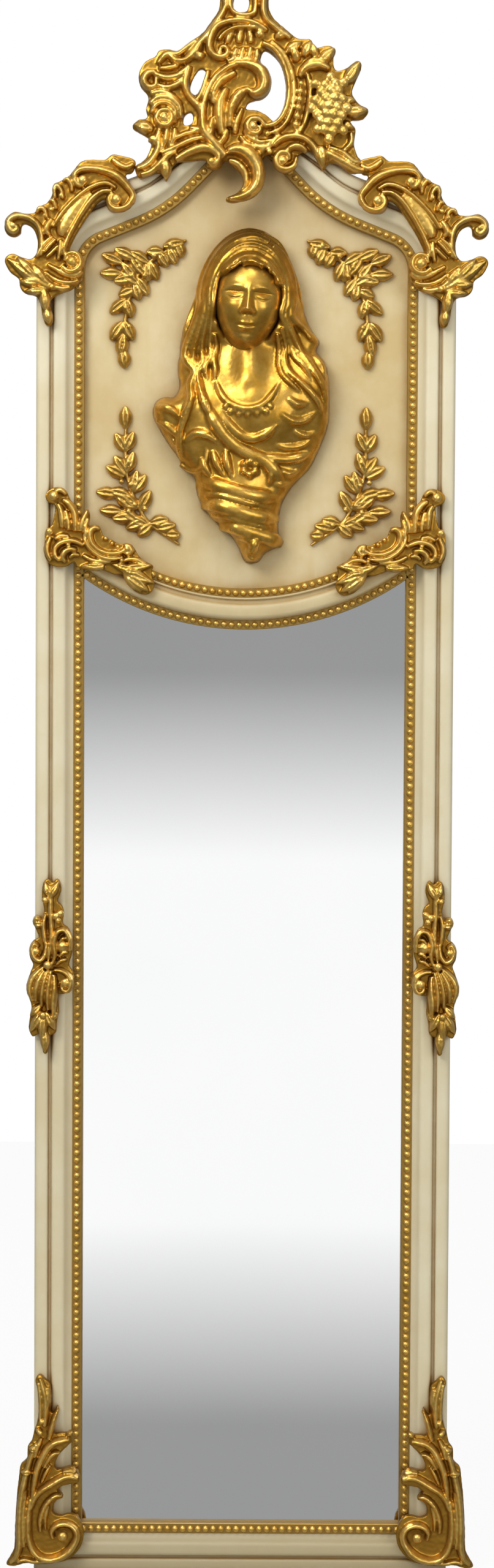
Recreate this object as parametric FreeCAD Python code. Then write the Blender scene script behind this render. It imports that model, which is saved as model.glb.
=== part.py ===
import FreeCAD, Part
import math
import os

# A tall wall mirror in a cream and gilt baroque frame.
# The wall is the plane Y = 0, the mirror faces -Y, Z = 0 is the lower edge of the frame and X = 0 its centre.

V = FreeCAD.Vector

# Frame moulding, from the sight edge outwards: bead seat, cove and band, groove, outer strip.
# Depths are measured from the wall.
frame_width = 474.0
stile_height = 1478.0
seat_width = 12.0
cove_width = 9.6
band_width = 13.2
groove_width = 3.8
strip_width = 15.4
seat_depth = 24.0
band_edge_depth = 33.5
crown_depth = 36.0
groove_depth = 30.0
outer_edge_depth = 29.0
rebate_depth = 16.0
rebate_width = 16.0
cove_bow_shares = (0.66, 0.30)
crown_flat_shares = (0.25, 0.75)

# Bead strips: a raised row on a thin base
bead_strip_width = 9.4
bead_row_width = 6.2
bead_base = 1.2
bead_height = 3.1
bead_top_share = 0.45

# Head of the frame: the sight edge rises over two shoulders to a peak
spring_rise = 13.0
shoulder_radius = 32.0
shoulder_slope = 22.0
shoulder_run = 45.0
sweep_radius = 176.0
crown_slope = 46.0
peak_radius = 29.0
peak_cover = 18.5
head_cover_shares = (1.0, 0.95, 0.92, 1.02, 1.01, 0.95, 0.93, 0.59)

# Arch rail: a hanging arc between the relief panel and the glass
arch_centre_drop = 75.2
arch_glass_radius = 319.5
arch_face_width = 46.0
arch_seat_width = 9.8
arch_groove_width = 5.0
arch_lip_width = 3.0
arch_web_setback = 13.0

# Sheets held in the rebates
glass_thickness = 4.0
backing_thickness = 3.0
panel_thickness = 6.0
sheet_clearance = 2.0

# Battens that hold the sheets from behind
batten_width = 12.0
batten_thickness = 6.0
batten_end_gap = 24.0

# Loose dowels between stile and head rail, and splines across the lower mitres
dowel_radius = 4.0
dowel_length = 50.0
spline_thickness = 4.0
spline_length = 30.0
spline_width = 16.0
joint_depth = 10.0

# Ring hangers let into the backs of the stiles
hanger_drop = 218.0
pocket_width = 30.0
pocket_length = 66.0
pocket_depth = 7.0
pocket_margin = 14.0
strap_width = 12.0
strap_length = 42.0
strap_thickness = 1.4
eye_bore_radius = 1.6
eye_wall = 1.4
ring_wire_radius = 1.2
ring_radius = 12.0
ring_sides = 6
bow_pieces = 10
peg_sides = 8
screw_head_radius = 3.4
screw_head_height = 1.3
screw_shank_radius = 1.8
hanger_screw_length = 12.0
hanger_screw_shares = (0.45, 0.80)

# Carved ornaments on the frame: how far each reaches past the frame's outer side or stays inside it,
# how far its foot lies from the piece that it covers, its size, board and rise
ornament_board = 9.0
ornament_rise = 14.0
crest_board = 12.0
crest_rise = 16.0
crest_left = -131.0
crest_cover = 87.0
crest_width = 267.0
crest_height = 259.0
shoulder_overhang = 37.0
shoulder_drop = 57.0
shoulder_width = 164.0
shoulder_height = 195.0
arch_corner_set_in = 9.6
arch_corner_drop = 20.9
arch_corner_width = 127.7
arch_corner_height = 127.0
drop_overhang = 9.0
drop_place_share = 0.4743
drop_width = 59.0
drop_height = 202.0
foot_overhang = 30.5
foot_lift = 8.0
foot_width = 90.0
foot_height = 225.0
leaf_inset_share = 0.55
button_inset_share = 0.55
scroll_inset_share = 0.4
outline_tolerance = 1.0
button_sides = 8
scroll_step = 30.0

# Bust and sprigs on the panel
bust_left = -113.0
bust_gap = 27.7
bust_width = 210.0
bust_height = 388.0
bust_base = 18.0
bust_rise = 62.0
head_half_width = 43.0
head_half_height = 60.0
head_depth = 76.0
head_sides = 12
head_tilt = 4.0
head_shares = (0.55, 0.80)
head_dome_shares = ((1.0, 0.0), (1.0, 0.5), (0.85, 0.75), (0.5, 0.95), (0.2, 1.0))
upper_sprig_left = 63.0
upper_sprig_gap = 15.0
upper_sprig_drop = 101.0
upper_sprig_height = 151.0
lower_sprig_left = 68.6
lower_sprig_gap = 11.4
lower_sprig_lift = 35.1
lower_sprig_height = 161.0
sprig_thickness = 3.0
sprig_rise = 4.0
stem_width = 3.4
sprig_leaf_width = 8.6
sprig_waist_share = 0.5

half_width = frame_width / 2
face_width = seat_width + cove_width + band_width + groove_width + strip_width
sight_half = half_width - face_width
rebate_half = sight_half + rebate_width
overrun = frame_width
arch_centre_height = stile_height - arch_centre_drop
hanger_height = stile_height - hanger_drop


def mirrored(shape):
    return shape.mirror(V(0, 0, 0), V(1, 0, 0))


def box(x0, x1, y0, y1, z0, z1):
    return Part.makeBox(x1 - x0, y1 - y0, z1 - z0, V(x0, y0, z0))


def closed_polygon(points):
    return Part.makePolygon(points + points[:1])


def stacked(rings):
    """A solid with flat sides between rings of points, closed at both ends."""
    loops = [rings[0], rings[-1]]
    for low, high in zip(rings, rings[1:]):
        loops += [[low[k - 1], low[k], high[k], high[k - 1]] for k in range(len(low))]
    return Part.makeSolid(Part.makeShell([Part.Face(closed_polygon(loop)) for loop in loops]))


def round_outline(middle, across, sides):
    """A many-sided outline, with its half widths to the sides and upwards."""
    turns = [2 * math.pi * k / sides for k in range(sides)]
    return [middle + V(math.cos(a) * across[0], 0, math.sin(a) * across[1]) for a in turns]


def rod(radius, start, end):
    return Part.makeCylinder(radius, (end - start).Length, start, end - start)


def peg(radius, start, end):
    """A slim rod, as a prism."""
    across = V(0, 1, 0) if start.z != end.z else V(0, 0, 1)
    aside = across.cross(end - start).normalize()
    turns = [2 * math.pi * k / peg_sides for k in range(peg_sides)]
    points = [start + (across * math.cos(a) + aside * math.sin(a)) * radius for a in turns]
    return Part.Face(closed_polygon(points)).extrude(end - start)


def disc(radius, y0, y1):
    return rod(radius, V(0, y0, arch_centre_height), V(0, y1, arch_centre_height))


# Sections. Each takes a function that turns (distance out, depth from the wall) into a point.

def crown(start, end, foot_depth, end_depth):
    """The points of a band that rises from its edges to a flat crown."""
    low, high = crown_flat_shares
    run = end - start
    return [(start, foot_depth), (start + low * run, crown_depth), (start + high * run, crown_depth), (end, end_depth)]


def frame_section(spot):
    cove_end = seat_width + cove_width
    band_end = cove_end + band_width
    groove_end = band_end + groove_width
    bow = (seat_width + cove_bow_shares[0] * cove_width,
           seat_depth + cove_bow_shares[1] * (band_edge_depth - seat_depth))
    points = [(0, seat_depth), (seat_width, seat_depth), bow]
    points += crown(cove_end, band_end, band_edge_depth, band_edge_depth)
    points += [(band_end, groove_depth), (groove_end, groove_depth)]
    points += crown(groove_end, face_width, band_edge_depth, outer_edge_depth)
    points += [(face_width, 0), (rebate_width, 0), (rebate_width, rebate_depth), (0, rebate_depth)]
    return closed_polygon([spot(t, d) for t, d in points])


def bead_section(spot):
    edge = bead_strip_width / 2
    row = bead_row_width / 2
    ledge = seat_depth + bead_base
    top = ledge + bead_height
    half = [(edge, seat_depth), (row, ledge), (bead_top_share * row, top)]
    points = half + [(-t, d) for t, d in reversed(half)]
    return closed_polygon([spot(seat_width / 2 + t, d) for t, d in points])


# Straight members, mitred at the lower corners

def stile_side_of_mitre():
    reach = 2 * face_width
    points = [(half_width, 0), (half_width, stile_height), (half_width - reach, stile_height), (half_width - reach, reach)]
    wire = closed_polygon([V(x, -overrun, z) for x, z in points])
    return Part.Face(wire).extrude(V(0, 2 * overrun, 0))


def along_stile(section):
    wire = section(lambda t, d: V(sight_half + t, -d, 0))
    return Part.Face(wire).extrude(V(0, 0, stile_height)).common(stile_side_of_mitre())


def along_bottom(section):
    wire = section(lambda t, d: V(-half_width, -d, face_width - t))
    rail = Part.Face(wire).extrude(V(frame_width, 0, 0))
    return rail.cut(stile_side_of_mitre()).cut(mirrored(stile_side_of_mitre()))


# Head: the same section carried along the shaped sight edge, from the right joint over the peak to the left one

def head_moves():
    """The sight edge's runs and turns: a length, or a radius with a turn in degrees, left turns positive."""
    s1 = math.radians(shoulder_slope)
    s2 = math.radians(crown_slope)
    reach = sight_half - shoulder_radius * (1 - math.sin(s1)) - shoulder_run * math.cos(s1)
    reach -= (sweep_radius * (math.sin(s2) - math.sin(s1)) + peak_radius * math.sin(s2))
    climb = reach / math.cos(s2)
    bend = crown_slope - shoulder_slope
    rise = [("run", spring_rise), ("turn", shoulder_radius, 90 - shoulder_slope), ("run", shoulder_run),
            ("turn", sweep_radius, -bend), ("run", climb)]
    return rise + [("turn", peak_radius, 2 * crown_slope)] + rise[::-1]


def outward(heading):
    return V(math.sin(math.radians(heading)), 0, -math.cos(math.radians(heading)))


def head_steps():
    """Each move with the place and heading at its start, and the place and heading at its middle and end."""
    place = V(sight_half, 0, stile_height)
    heading = 90
    steps = []
    for move in head_moves():
        if move[0] == "run":
            ahead = outward(heading + 90) * move[1]
            after = [(place + ahead / 2, heading), (place + ahead, heading)]
        else:
            side = math.copysign(move[1], move[2])
            centre = place - outward(heading) * side
            turned = [heading + move[2] / 2, heading + move[2]]
            after = [(centre + outward(h) * side, h) for h in turned]
        steps.append((move, place, heading, after))
        place, heading = after[-1]
    return steps


def head_pieces(section):
    """A solid for each run and turn of the head."""
    pieces = []
    for move, place, heading, after in head_steps():
        out = outward(heading)
        face = Part.Face(section(lambda t, d: place + out * t - V(0, d, 0)))
        if move[0] == "run":
            pieces.append(face.extrude(after[-1][0] - place))
        else:
            centre = place - out * math.copysign(move[1], move[2])
            pieces.append(face.revolve(centre, V(0, -math.copysign(1, move[2]), 0), abs(move[2])))
    return pieces


def along_head(section):
    pieces = head_pieces(section)
    return pieces[0].multiFuse(pieces[1:]).removeSplitter()


def head_trim():
    """The head's outer outline, which the carvings hide."""
    steps = head_steps()
    rise = steps[:len(steps) // 2]
    spots = [(rise[0][1], rise[0][2])]
    for move, place, heading, after in rise:
        spots += after if move[0] == "turn" else after[-1:]
    right = [p + outward(h) * share * face_width for (p, h), share in zip(spots, head_cover_shares)]
    left = [V(-p.x, 0, p.z) for p in reversed(right)]
    points = right + [head_peak() + V(0, 0, peak_cover)] + left
    trim = Part.Face(closed_polygon(points)).extrude(V(0, -overrun, 0))
    return trim.translated(V(0, overrun / 2, 0))


def head_peak():
    """The highest point of the sight edge."""
    steps = head_steps()
    return steps[len(steps) // 2][3][0][0]


# Arch rail: turned about the centre of its arc

def arch_section():
    inner = arch_glass_radius - arch_face_width
    upper_seat = inner + arch_seat_width
    lip = upper_seat + arch_lip_width
    groove = lip + arch_groove_width
    lower_seat = arch_glass_radius - arch_seat_width
    web_inner = inner + arch_web_setback
    web_outer = arch_glass_radius - arch_web_setback
    points = [(inner, rebate_depth), (inner, seat_depth), (upper_seat, seat_depth), (upper_seat, band_edge_depth),
              (lip, band_edge_depth), (lip, groove_depth), (groove, groove_depth)]
    points += crown(groove, lower_seat, band_edge_depth, seat_depth)
    points += [(arch_glass_radius, seat_depth), (arch_glass_radius, rebate_depth), (web_outer, rebate_depth),
               (web_outer, 0), (web_inner, 0), (web_inner, rebate_depth)]
    return closed_polygon([V(0, -d, arch_centre_height - r) for r, d in points])


def turned_arch(wire):
    quarter = 90
    face = Part.Face(wire)
    face.rotate(V(0, 0, arch_centre_height), V(0, 1, 0), -quarter)
    return face.revolve(V(0, 0, arch_centre_height), V(0, 1, 0), 2 * quarter)


def arch_rail():
    front = box(-sight_half, sight_half, -overrun, -rebate_depth, 0, arch_centre_height)
    web = box(-rebate_half, rebate_half, -rebate_depth, 0, 0, arch_centre_height)
    return turned_arch(arch_section()).common(front.fuse(web))


def arch_bead(radius):
    wire = bead_section(lambda t, d: V(0, -d, arch_centre_height - radius - t + seat_width / 2))
    span = box(-sight_half, sight_half, -overrun, 0, 0, arch_centre_height)
    return turned_arch(wire).common(span)


# Sheets and battens

sheet_half = rebate_half - sheet_clearance
sheet_foot = face_width - rebate_width + sheet_clearance
glass_top_radius = arch_glass_radius - arch_web_setback + sheet_clearance
panel_foot_radius = arch_glass_radius - arch_face_width + arch_web_setback - sheet_clearance
glass_back = rebate_depth - glass_thickness
backing_back = glass_back - backing_thickness
panel_back = rebate_depth - panel_thickness
batten_inner = rebate_half - batten_width


def below_arch(front, back):
    sheet = box(-sheet_half, sheet_half, -front, -back, sheet_foot, arch_centre_height)
    return sheet.cut(disc(glass_top_radius, -overrun, overrun))


def head_outline(out):
    """The head's line, set out from the sight edge, as edges from the right joint to the left one."""
    edges = []
    for move, place, heading, after in head_steps():
        spots = [p + outward(h) * out for p, h in [(place, heading)] + after]
        if move[0] == "run":
            edges.append(Part.makeLine(spots[0], spots[-1]))
        else:
            edges.append(Part.Arc(spots[0], spots[1], spots[2]).toShape())
    return edges


def relief_panel():
    edges = head_outline(rebate_width - sheet_clearance)
    ends = [V(-sheet_half, 0, stile_height), V(-sheet_half, 0, 0), V(sheet_half, 0, 0), V(sheet_half, 0, stile_height)]
    sides = [Part.makeLine(a, b) for a, b in zip(ends, ends[1:])]
    sheet = Part.Face(Part.Wire(edges + sides)).extrude(V(0, -panel_thickness, 0))
    return sheet.translated(V(0, -panel_back, 0)).common(disc(panel_foot_radius, -overrun, overrun))


def arch_height_at(radius, x):
    return arch_centre_height - math.sqrt(radius ** 2 - x ** 2)


def glass_batten():
    top = arch_height_at(glass_top_radius, batten_inner) - batten_end_gap
    return box(batten_inner, rebate_half, -backing_back, batten_thickness - backing_back, face_width, top)


def panel_batten():
    foot = arch_height_at(panel_foot_radius, batten_inner) + batten_end_gap
    return box(batten_inner, rebate_half, -panel_back, batten_thickness - panel_back, foot, stile_height)


def bottom_batten():
    foot = face_width - rebate_width
    return box(-batten_inner, batten_inner, -backing_back, batten_thickness - backing_back, foot, foot + batten_width)


def arch_batten():
    ring = disc(glass_top_radius + batten_width, -backing_back, batten_thickness - backing_back)
    ring = ring.cut(disc(glass_top_radius - sheet_clearance, -overrun, overrun))
    reach = batten_inner - sheet_clearance
    return ring.common(box(-reach, reach, -overrun, overrun, 0, arch_centre_height))


# Dowels and splines

def head_dowels():
    foot = V((half_width + rebate_half) / 2, -joint_depth, stile_height - dowel_length / 2)
    dowel = peg(dowel_radius, foot, foot + V(0, 0, dowel_length))
    return [dowel, mirrored(dowel)]


def mitre_splines():
    middle = (half_width + rebate_half) / 2
    spline = box(-spline_width / 2, spline_width / 2, -spline_thickness / 2, spline_thickness / 2,
                 -spline_length / 2, spline_length / 2)
    spline.rotate(V(0, 0, 0), V(0, 1, 0), -45)
    spline.translate(V(middle, -joint_depth, half_width - middle))
    return [spline, mirrored(spline)]


# Ring hangers: a strap screwed into a pocket, with a D-shaped ring in its rolled eye

hanger_x = (half_width + rebate_half) / 2
eye_radius = eye_bore_radius + eye_wall
eye_depth = pocket_depth - eye_radius


def hanger_pocket():
    half = pocket_width / 2
    top = hanger_height + pocket_margin
    return box(hanger_x - half, hanger_x + half, -pocket_depth, overrun, top - pocket_length, top)


def hanger_strap():
    half = strap_width / 2
    floor = -pocket_depth
    plate = box(hanger_x - half, hanger_x + half, floor, floor + strap_thickness,
                hanger_height - strap_length, hanger_height)
    pin = V(hanger_x, -eye_depth, hanger_height)
    eye = peg(eye_radius, pin - V(half, 0, 0), pin + V(half, 0, 0))
    bore = rod(eye_bore_radius, pin - V(strap_width, 0, 0), pin + V(strap_width, 0, 0))
    return plate.fuse(eye).cut(bore).removeSplitter()


def hanger_ring():
    pin = V(hanger_x, -eye_depth, hanger_height)
    reach = V(ring_radius, 0, 0)
    rings = []
    for k in range(bow_pieces + 1):
        turn = math.pi * k / bow_pieces
        out = V(math.cos(turn), 0, -math.sin(turn))
        ring = []
        for n in range(ring_sides):
            a = 2 * math.pi * (n + 0.5) / ring_sides
            ring.append(pin + out * (ring_radius + math.cos(a) * ring_wire_radius) + V(0, math.sin(a), 0) * ring_wire_radius)
        rings.append(ring)
    bow = stacked(rings)
    overhang = V(ring_wire_radius, 0, 0)
    bar = peg(ring_wire_radius, pin - reach - overhang, pin + reach + overhang)
    return bow.fuse(bar).removeSplitter()


def hanger_screws():
    seat = V(hanger_x, strap_thickness - pocket_depth, hanger_height)
    screws = []
    for share in hanger_screw_shares:
        place = seat - V(0, 0, share * strap_length)
        head = peg(screw_head_radius, place, place + V(0, screw_head_height, 0))
        screws.append(head.fuse(peg(screw_shank_radius, place, place - V(0, hanger_screw_length, 0))))
    return screws + [mirrored(s) for s in screws]


# Carved ornaments: an outlined board with raised scrolls, leaves and buttons.
# Places are shares of the ornament's width and height from its lower left corner, and radii shares of its width.
# Scroll: centre u and v, radius, start and end angle in degrees, half width, lift.
# Leaf: outline, lift. Button: u, v, radius, lift. Lifts are shares of the ornament's rise.

def smooth_outline(points):
    """A closed outline eased through its points."""
    curve = Part.BSplineCurve()
    curve.interpolate(points, PeriodicFlag=True)
    return curve.discretize(Deflection=outline_tolerance)[:-1]


def inset(points, share):
    """The same outline, drawn in about its middle."""
    xs = [p.x for p in points]
    zs = [p.z for p in points]
    middle = V((min(xs) + max(xs)) / 2, 0, (min(zs) + max(zs)) / 2)
    return [middle + (p - middle) * share for p in points]


def raised(foot, crest, back, top):
    """A lump with sloping sides, from its outline at the back to a smaller one at the top."""
    return stacked([[p - V(0, back, 0) for p in foot], [p - V(0, top, 0) for p in crest]])


def ribbon(centre, radius, start, stop, half):
    """The outline of an arc-shaped band."""
    pieces = math.ceil((stop - start) / scroll_step)
    turns = [math.radians(start + k * (stop - start) / pieces) for k in range(pieces + 1)]
    outer = [centre + V(math.cos(a), 0, math.sin(a)) * (radius + half) for a in turns]
    inner = [centre + V(math.cos(a), 0, math.sin(a)) * (radius - half) for a in reversed(turns)]
    return outer + inner


def carving(shares, left, foot, width, height, back, base, rise):
    def place(u, v):
        return V(left + u * width, 0, foot + v * height)

    wires = []
    for outline in [shares["outline"]] + shares.get("holes", []):
        wires.append(closed_polygon(smooth_outline([place(u, v) for u, v in outline])))
    board = Part.makeFace(wires, "Part::FaceMakerBullseye").extrude(V(0, back - base, 0))
    board.translate(V(0, -back, 0))
    raises = []
    for u, v, radius, start, stop, half, lift in shares.get("scrolls", []):
        bands = [ribbon(place(u, v), radius * width, start, stop, half * share * width) for share in (1, scroll_inset_share)]
        raises.append(raised(bands[0], bands[1], back, base + lift * rise))
    for outline, lift in shares.get("leaves", []):
        points = [place(u, v) for u, v in outline]
        raises.append(raised(points, inset(points, leaf_inset_share), back, base + lift * rise))
    for u, v, radius, lift in shares.get("buttons", []):
        points = round_outline(place(u, v), (radius * width, radius * width), button_sides)
        raises.append(raised(points, inset(points, button_inset_share), back, base + lift * rise))
    return board.multiFuse(raises).removeSplitter()


def sprig(shares, left, foot, width, height):
    """A stem with ridged leaves, each given by its root and tip."""
    def place(u, v):
        return V(left + u * width, 0, foot + v * height)

    top = rebate_depth + sprig_thickness
    pieces = []
    stem = [place(u, v) for u, v in shares["stem"]]
    for a, b in zip(stem, stem[1:]):
        along = (b - a).normalize()
        across = V(-along.z, 0, along.x) * stem_width / 2
        lap = along * stem_width / 2
        corners = [a - lap - across, b + lap - across, b + lap + across, a - lap + across]
        strip = Part.Face(Part.makePolygon(corners + corners[:1])).extrude(V(0, rebate_depth - top, 0))
        pieces.append(strip.translated(V(0, -rebate_depth, 0)))
    for u0, v0, u1, v1 in shares["leaves"]:
        root = place(u0, v0)
        tip = place(u1, v1)
        along = tip - root
        across = V(-along.z, 0, along.x).normalize() * sprig_leaf_width / 2
        waist = root + along * sprig_waist_share
        points = [p - V(0, rebate_depth, 0) for p in (root, waist - across, tip, waist + across)]
        ridge = waist - V(0, top + sprig_rise, 0)
        loops = [points] + [[points[k - 1], points[k], ridge] for k in range(len(points))]
        pieces.append(Part.makeSolid(Part.makeShell([Part.Face(closed_polygon(loop)) for loop in loops])))
    return pieces[0].multiFuse(pieces[1:]).removeSplitter()


crest_shares = {
    "outline": [
        (0.02, 0.16), (0.06, 0.19), (0.085, 0.24), (0.08, 0.28), (0.01, 0.325), (0.03, 0.36),
        (0.07, 0.37), (0.065, 0.41), (0.075, 0.46), (0.04, 0.51), (0.035, 0.56), (0.06, 0.61), (0.105, 0.635),
        (0.12, 0.66), (0.16, 0.665), (0.20, 0.66), (0.25, 0.70), (0.30, 0.735), (0.34, 0.79), (0.37, 0.84),
        (0.378, 0.92), (0.405, 0.98), (0.475, 1.0), (0.55, 0.98), (0.578, 0.92), (0.578, 0.85), (0.60, 0.80),
        (0.65, 0.755), (0.70, 0.715), (0.755, 0.71), (0.775, 0.675), (0.83, 0.685), (0.86, 0.665), (0.85, 0.625),
        (0.86, 0.58), (0.90, 0.585), (0.95, 0.62), (0.97, 0.595), (0.94, 0.52), (0.93, 0.48), (0.96, 0.435),
        (1.0, 0.41), (0.975, 0.37), (0.91, 0.36), (0.945, 0.33), (0.94, 0.26), (0.955, 0.21), (0.97, 0.19),
        (0.955, 0.14), (0.92, 0.14), (0.87, 0.175), (0.83, 0.175), (0.81, 0.145), (0.79, 0.19), (0.75, 0.235),
        (0.69, 0.20), (0.67, 0.16), (0.62, 0.165), (0.60, 0.215), (0.56, 0.20), (0.555, 0.12), (0.52, 0.05),
        (0.46, 0.012), (0.41, 0.01), (0.405, 0.03), (0.45, 0.05), (0.475, 0.09), (0.465, 0.13), (0.43, 0.165),
        (0.40, 0.19), (0.375, 0.155), (0.33, 0.155), (0.315, 0.19), (0.25, 0.185), (0.19, 0.175), (0.165, 0.13),
        (0.15, 0.095), (0.135, 0.13), (0.10, 0.13), (0.04, 0.11),
    ],
    "holes": [
        [(0.435, 0.83), (0.43, 0.87), (0.445, 0.905), (0.47, 0.905), (0.495, 0.88), (0.49, 0.835), (0.46, 0.825)],
        [(0.545, 0.615), (0.56, 0.66), (0.60, 0.64), (0.64, 0.585), (0.66, 0.51), (0.655, 0.44), (0.63, 0.38),
         (0.605, 0.357), (0.57, 0.385), (0.53, 0.405), (0.485, 0.41), (0.50, 0.44), (0.555, 0.455), (0.585, 0.49),
         (0.59, 0.54), (0.57, 0.585)],
        [(0.25, 0.50), (0.265, 0.545), (0.29, 0.58), (0.315, 0.57), (0.305, 0.52), (0.28, 0.475), (0.26, 0.475)],
        [(0.222, 0.345), (0.225, 0.375), (0.24, 0.392), (0.26, 0.39), (0.262, 0.355), (0.24, 0.338)],
    ],
    "scrolls": [
        (0.46, 0.495, 0.098, -25, 190, 0.028, 1.0),
        (0.62, 0.44, 0.285, 178, 228, 0.026, 0.9),
        (0.45, 0.675, 0.092, 15, 205, 0.018, 0.8),
        (0.525, 0.49, 0.15, -78, 68, 0.012, 0.6),
        (0.42, 0.12, 0.098, -85, 80, 0.024, 0.9),
        (0.28, 0.13, 0.105, 45, 125, 0.020, 0.6),
    ],
    "leaves": [
        ([(0.39, 0.27), (0.365, 0.40), (0.40, 0.49), (0.455, 0.50), (0.45, 0.40), (0.43, 0.28)], 0.7),
        ([(0.06, 0.54), (0.11, 0.61), (0.20, 0.63), (0.28, 0.69), (0.29, 0.64), (0.20, 0.57), (0.10, 0.52)], 0.6),
        ([(0.39, 0.83), (0.385, 0.95), (0.415, 0.95), (0.42, 0.85)], 0.6),
        ([(0.525, 0.83), (0.525, 0.95), (0.565, 0.95), (0.565, 0.83)], 0.6),
        ([(0.71, 0.31), (0.70, 0.44), (0.71, 0.57), (0.73, 0.57), (0.735, 0.44), (0.73, 0.31)], 0.5),
    ],
    "buttons": [
        (0.15, 0.37, 0.068, 0.9), (0.34, 0.18, 0.030, 0.6), (0.645, 0.19, 0.030, 0.6), (0.37, 0.65, 0.028, 0.7),
        (0.54, 0.72, 0.024, 0.7), (0.80, 0.54, 0.034, 0.7), (0.86, 0.54, 0.034, 0.7), (0.80, 0.46, 0.036, 0.9),
        (0.87, 0.46, 0.036, 0.8), (0.83, 0.39, 0.036, 0.9), (0.90, 0.41, 0.030, 0.6), (0.84, 0.31, 0.034, 0.6),
    ],
}

shoulder_shares = {
    "outline": [
        (0.10, 0.965), (0.17, 0.985), (0.25, 0.995), (0.30, 0.965), (0.38, 0.965), (0.46, 0.955), (0.51, 0.91),
        (0.55, 0.87), (0.61, 0.84), (0.655, 0.82), (0.665, 0.76), (0.70, 0.715), (0.75, 0.695), (0.785, 0.66),
        (0.85, 0.655), (0.92, 0.665), (0.975, 0.63), (0.99, 0.585), (0.975, 0.54), (0.925, 0.52), (0.88, 0.54),
        (0.872, 0.58), (0.85, 0.595), (0.80, 0.575), (0.77, 0.53), (0.76, 0.47), (0.775, 0.42), (0.81, 0.395),
        (0.87, 0.405), (0.93, 0.425), (0.975, 0.41), (0.985, 0.375), (0.95, 0.32), (0.89, 0.28), (0.88, 0.23),
        (0.84, 0.195), (0.77, 0.18), (0.74, 0.13), (0.725, 0.06), (0.70, 0.015), (0.665, 0.02), (0.655, 0.07),
        (0.675, 0.13), (0.66, 0.17), (0.60, 0.20), (0.53, 0.22), (0.47, 0.27), (0.445, 0.33), (0.455, 0.40),
        (0.50, 0.435), (0.545, 0.44), (0.52, 0.50), (0.48, 0.56), (0.42, 0.64), (0.36, 0.71), (0.30, 0.74),
        (0.285, 0.69), (0.24, 0.665), (0.17, 0.69), (0.11, 0.735), (0.09, 0.78), (0.13, 0.83), (0.16, 0.88),
        (0.12, 0.89), (0.095, 0.925),
    ],
    "scrolls": [
        (0.354, 0.692, 0.256, 60, 156, 0.030, 1.0),
        (0.90, 0.48, 0.158, 100, 190, 0.020, 0.8),
        (0.92, 0.58, 0.055, -70, 110, 0.018, 0.8),
    ],
    "leaves": [
        ([(0.27, 0.77), (0.31, 0.82), (0.43, 0.79), (0.55, 0.70), (0.66, 0.58), (0.62, 0.53), (0.56, 0.53), (0.46, 0.64),
          (0.36, 0.74)], 0.8),
        ([(0.70, 0.21), (0.74, 0.30), (0.84, 0.36), (0.94, 0.40), (0.96, 0.37), (0.90, 0.31), (0.85, 0.24), (0.78, 0.20)],
         0.6),
        ([(0.685, 0.18), (0.67, 0.08), (0.68, 0.03), (0.705, 0.03), (0.72, 0.09), (0.73, 0.18)], 0.7),
    ],
    "buttons": [
        (0.22, 0.73, 0.065, 0.9), (0.45, 0.83, 0.055, 0.8), (0.53, 0.36, 0.080, 1.0), (0.60, 0.78, 0.045, 0.6),
        (0.65, 0.72, 0.045, 0.6), (0.70, 0.65, 0.045, 0.6),
    ],
}

arch_corner_shares = {
    "outline": [
        (0.80, 0.93), (0.86, 0.965), (0.94, 0.945), (0.985, 0.89), (0.96, 0.83), (0.90, 0.80), (0.91, 0.70),
        (0.93, 0.62), (0.985, 0.575), (0.99, 0.48), (1.0, 0.40), (0.97, 0.31), (0.90, 0.26), (0.80, 0.26),
        (0.73, 0.30), (0.70, 0.255), (0.62, 0.235), (0.50, 0.235), (0.43, 0.215), (0.36, 0.19), (0.27, 0.19),
        (0.24, 0.10), (0.17, 0.03), (0.07, 0.02), (0.02, 0.10), (0.05, 0.20), (0.03, 0.27), (0.10, 0.31),
        (0.16, 0.36), (0.20, 0.43), (0.26, 0.47), (0.32, 0.46), (0.40, 0.50), (0.47, 0.53), (0.50, 0.60),
        (0.56, 0.63), (0.60, 0.62), (0.59, 0.70), (0.61, 0.77), (0.65, 0.73), (0.69, 0.69), (0.71, 0.78),
        (0.76, 0.84),
    ],
    "scrolls": [
        (0.42, 0.52, 0.165, -150, 25, 0.030, 0.9),
        (0.80, 0.385, 0.11, -70, 150, 0.032, 1.0),
    ],
    "leaves": [
        ([(0.72, 0.57), (0.72, 0.74), (0.78, 0.82), (0.83, 0.83), (0.80, 0.74), (0.78, 0.57)], 0.8),
        ([(0.82, 0.57), (0.82, 0.74), (0.86, 0.78), (0.88, 0.70), (0.87, 0.57)], 0.7),
        ([(0.06, 0.05), (0.08, 0.17), (0.17, 0.20), (0.20, 0.11), (0.14, 0.05)], 0.6),
        ([(0.28, 0.22), (0.38, 0.29), (0.46, 0.28), (0.38, 0.22)], 0.6),
    ],
    "buttons": [(0.895, 0.88, 0.062, 0.9), (0.23, 0.41, 0.045, 0.7)],
}

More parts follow.
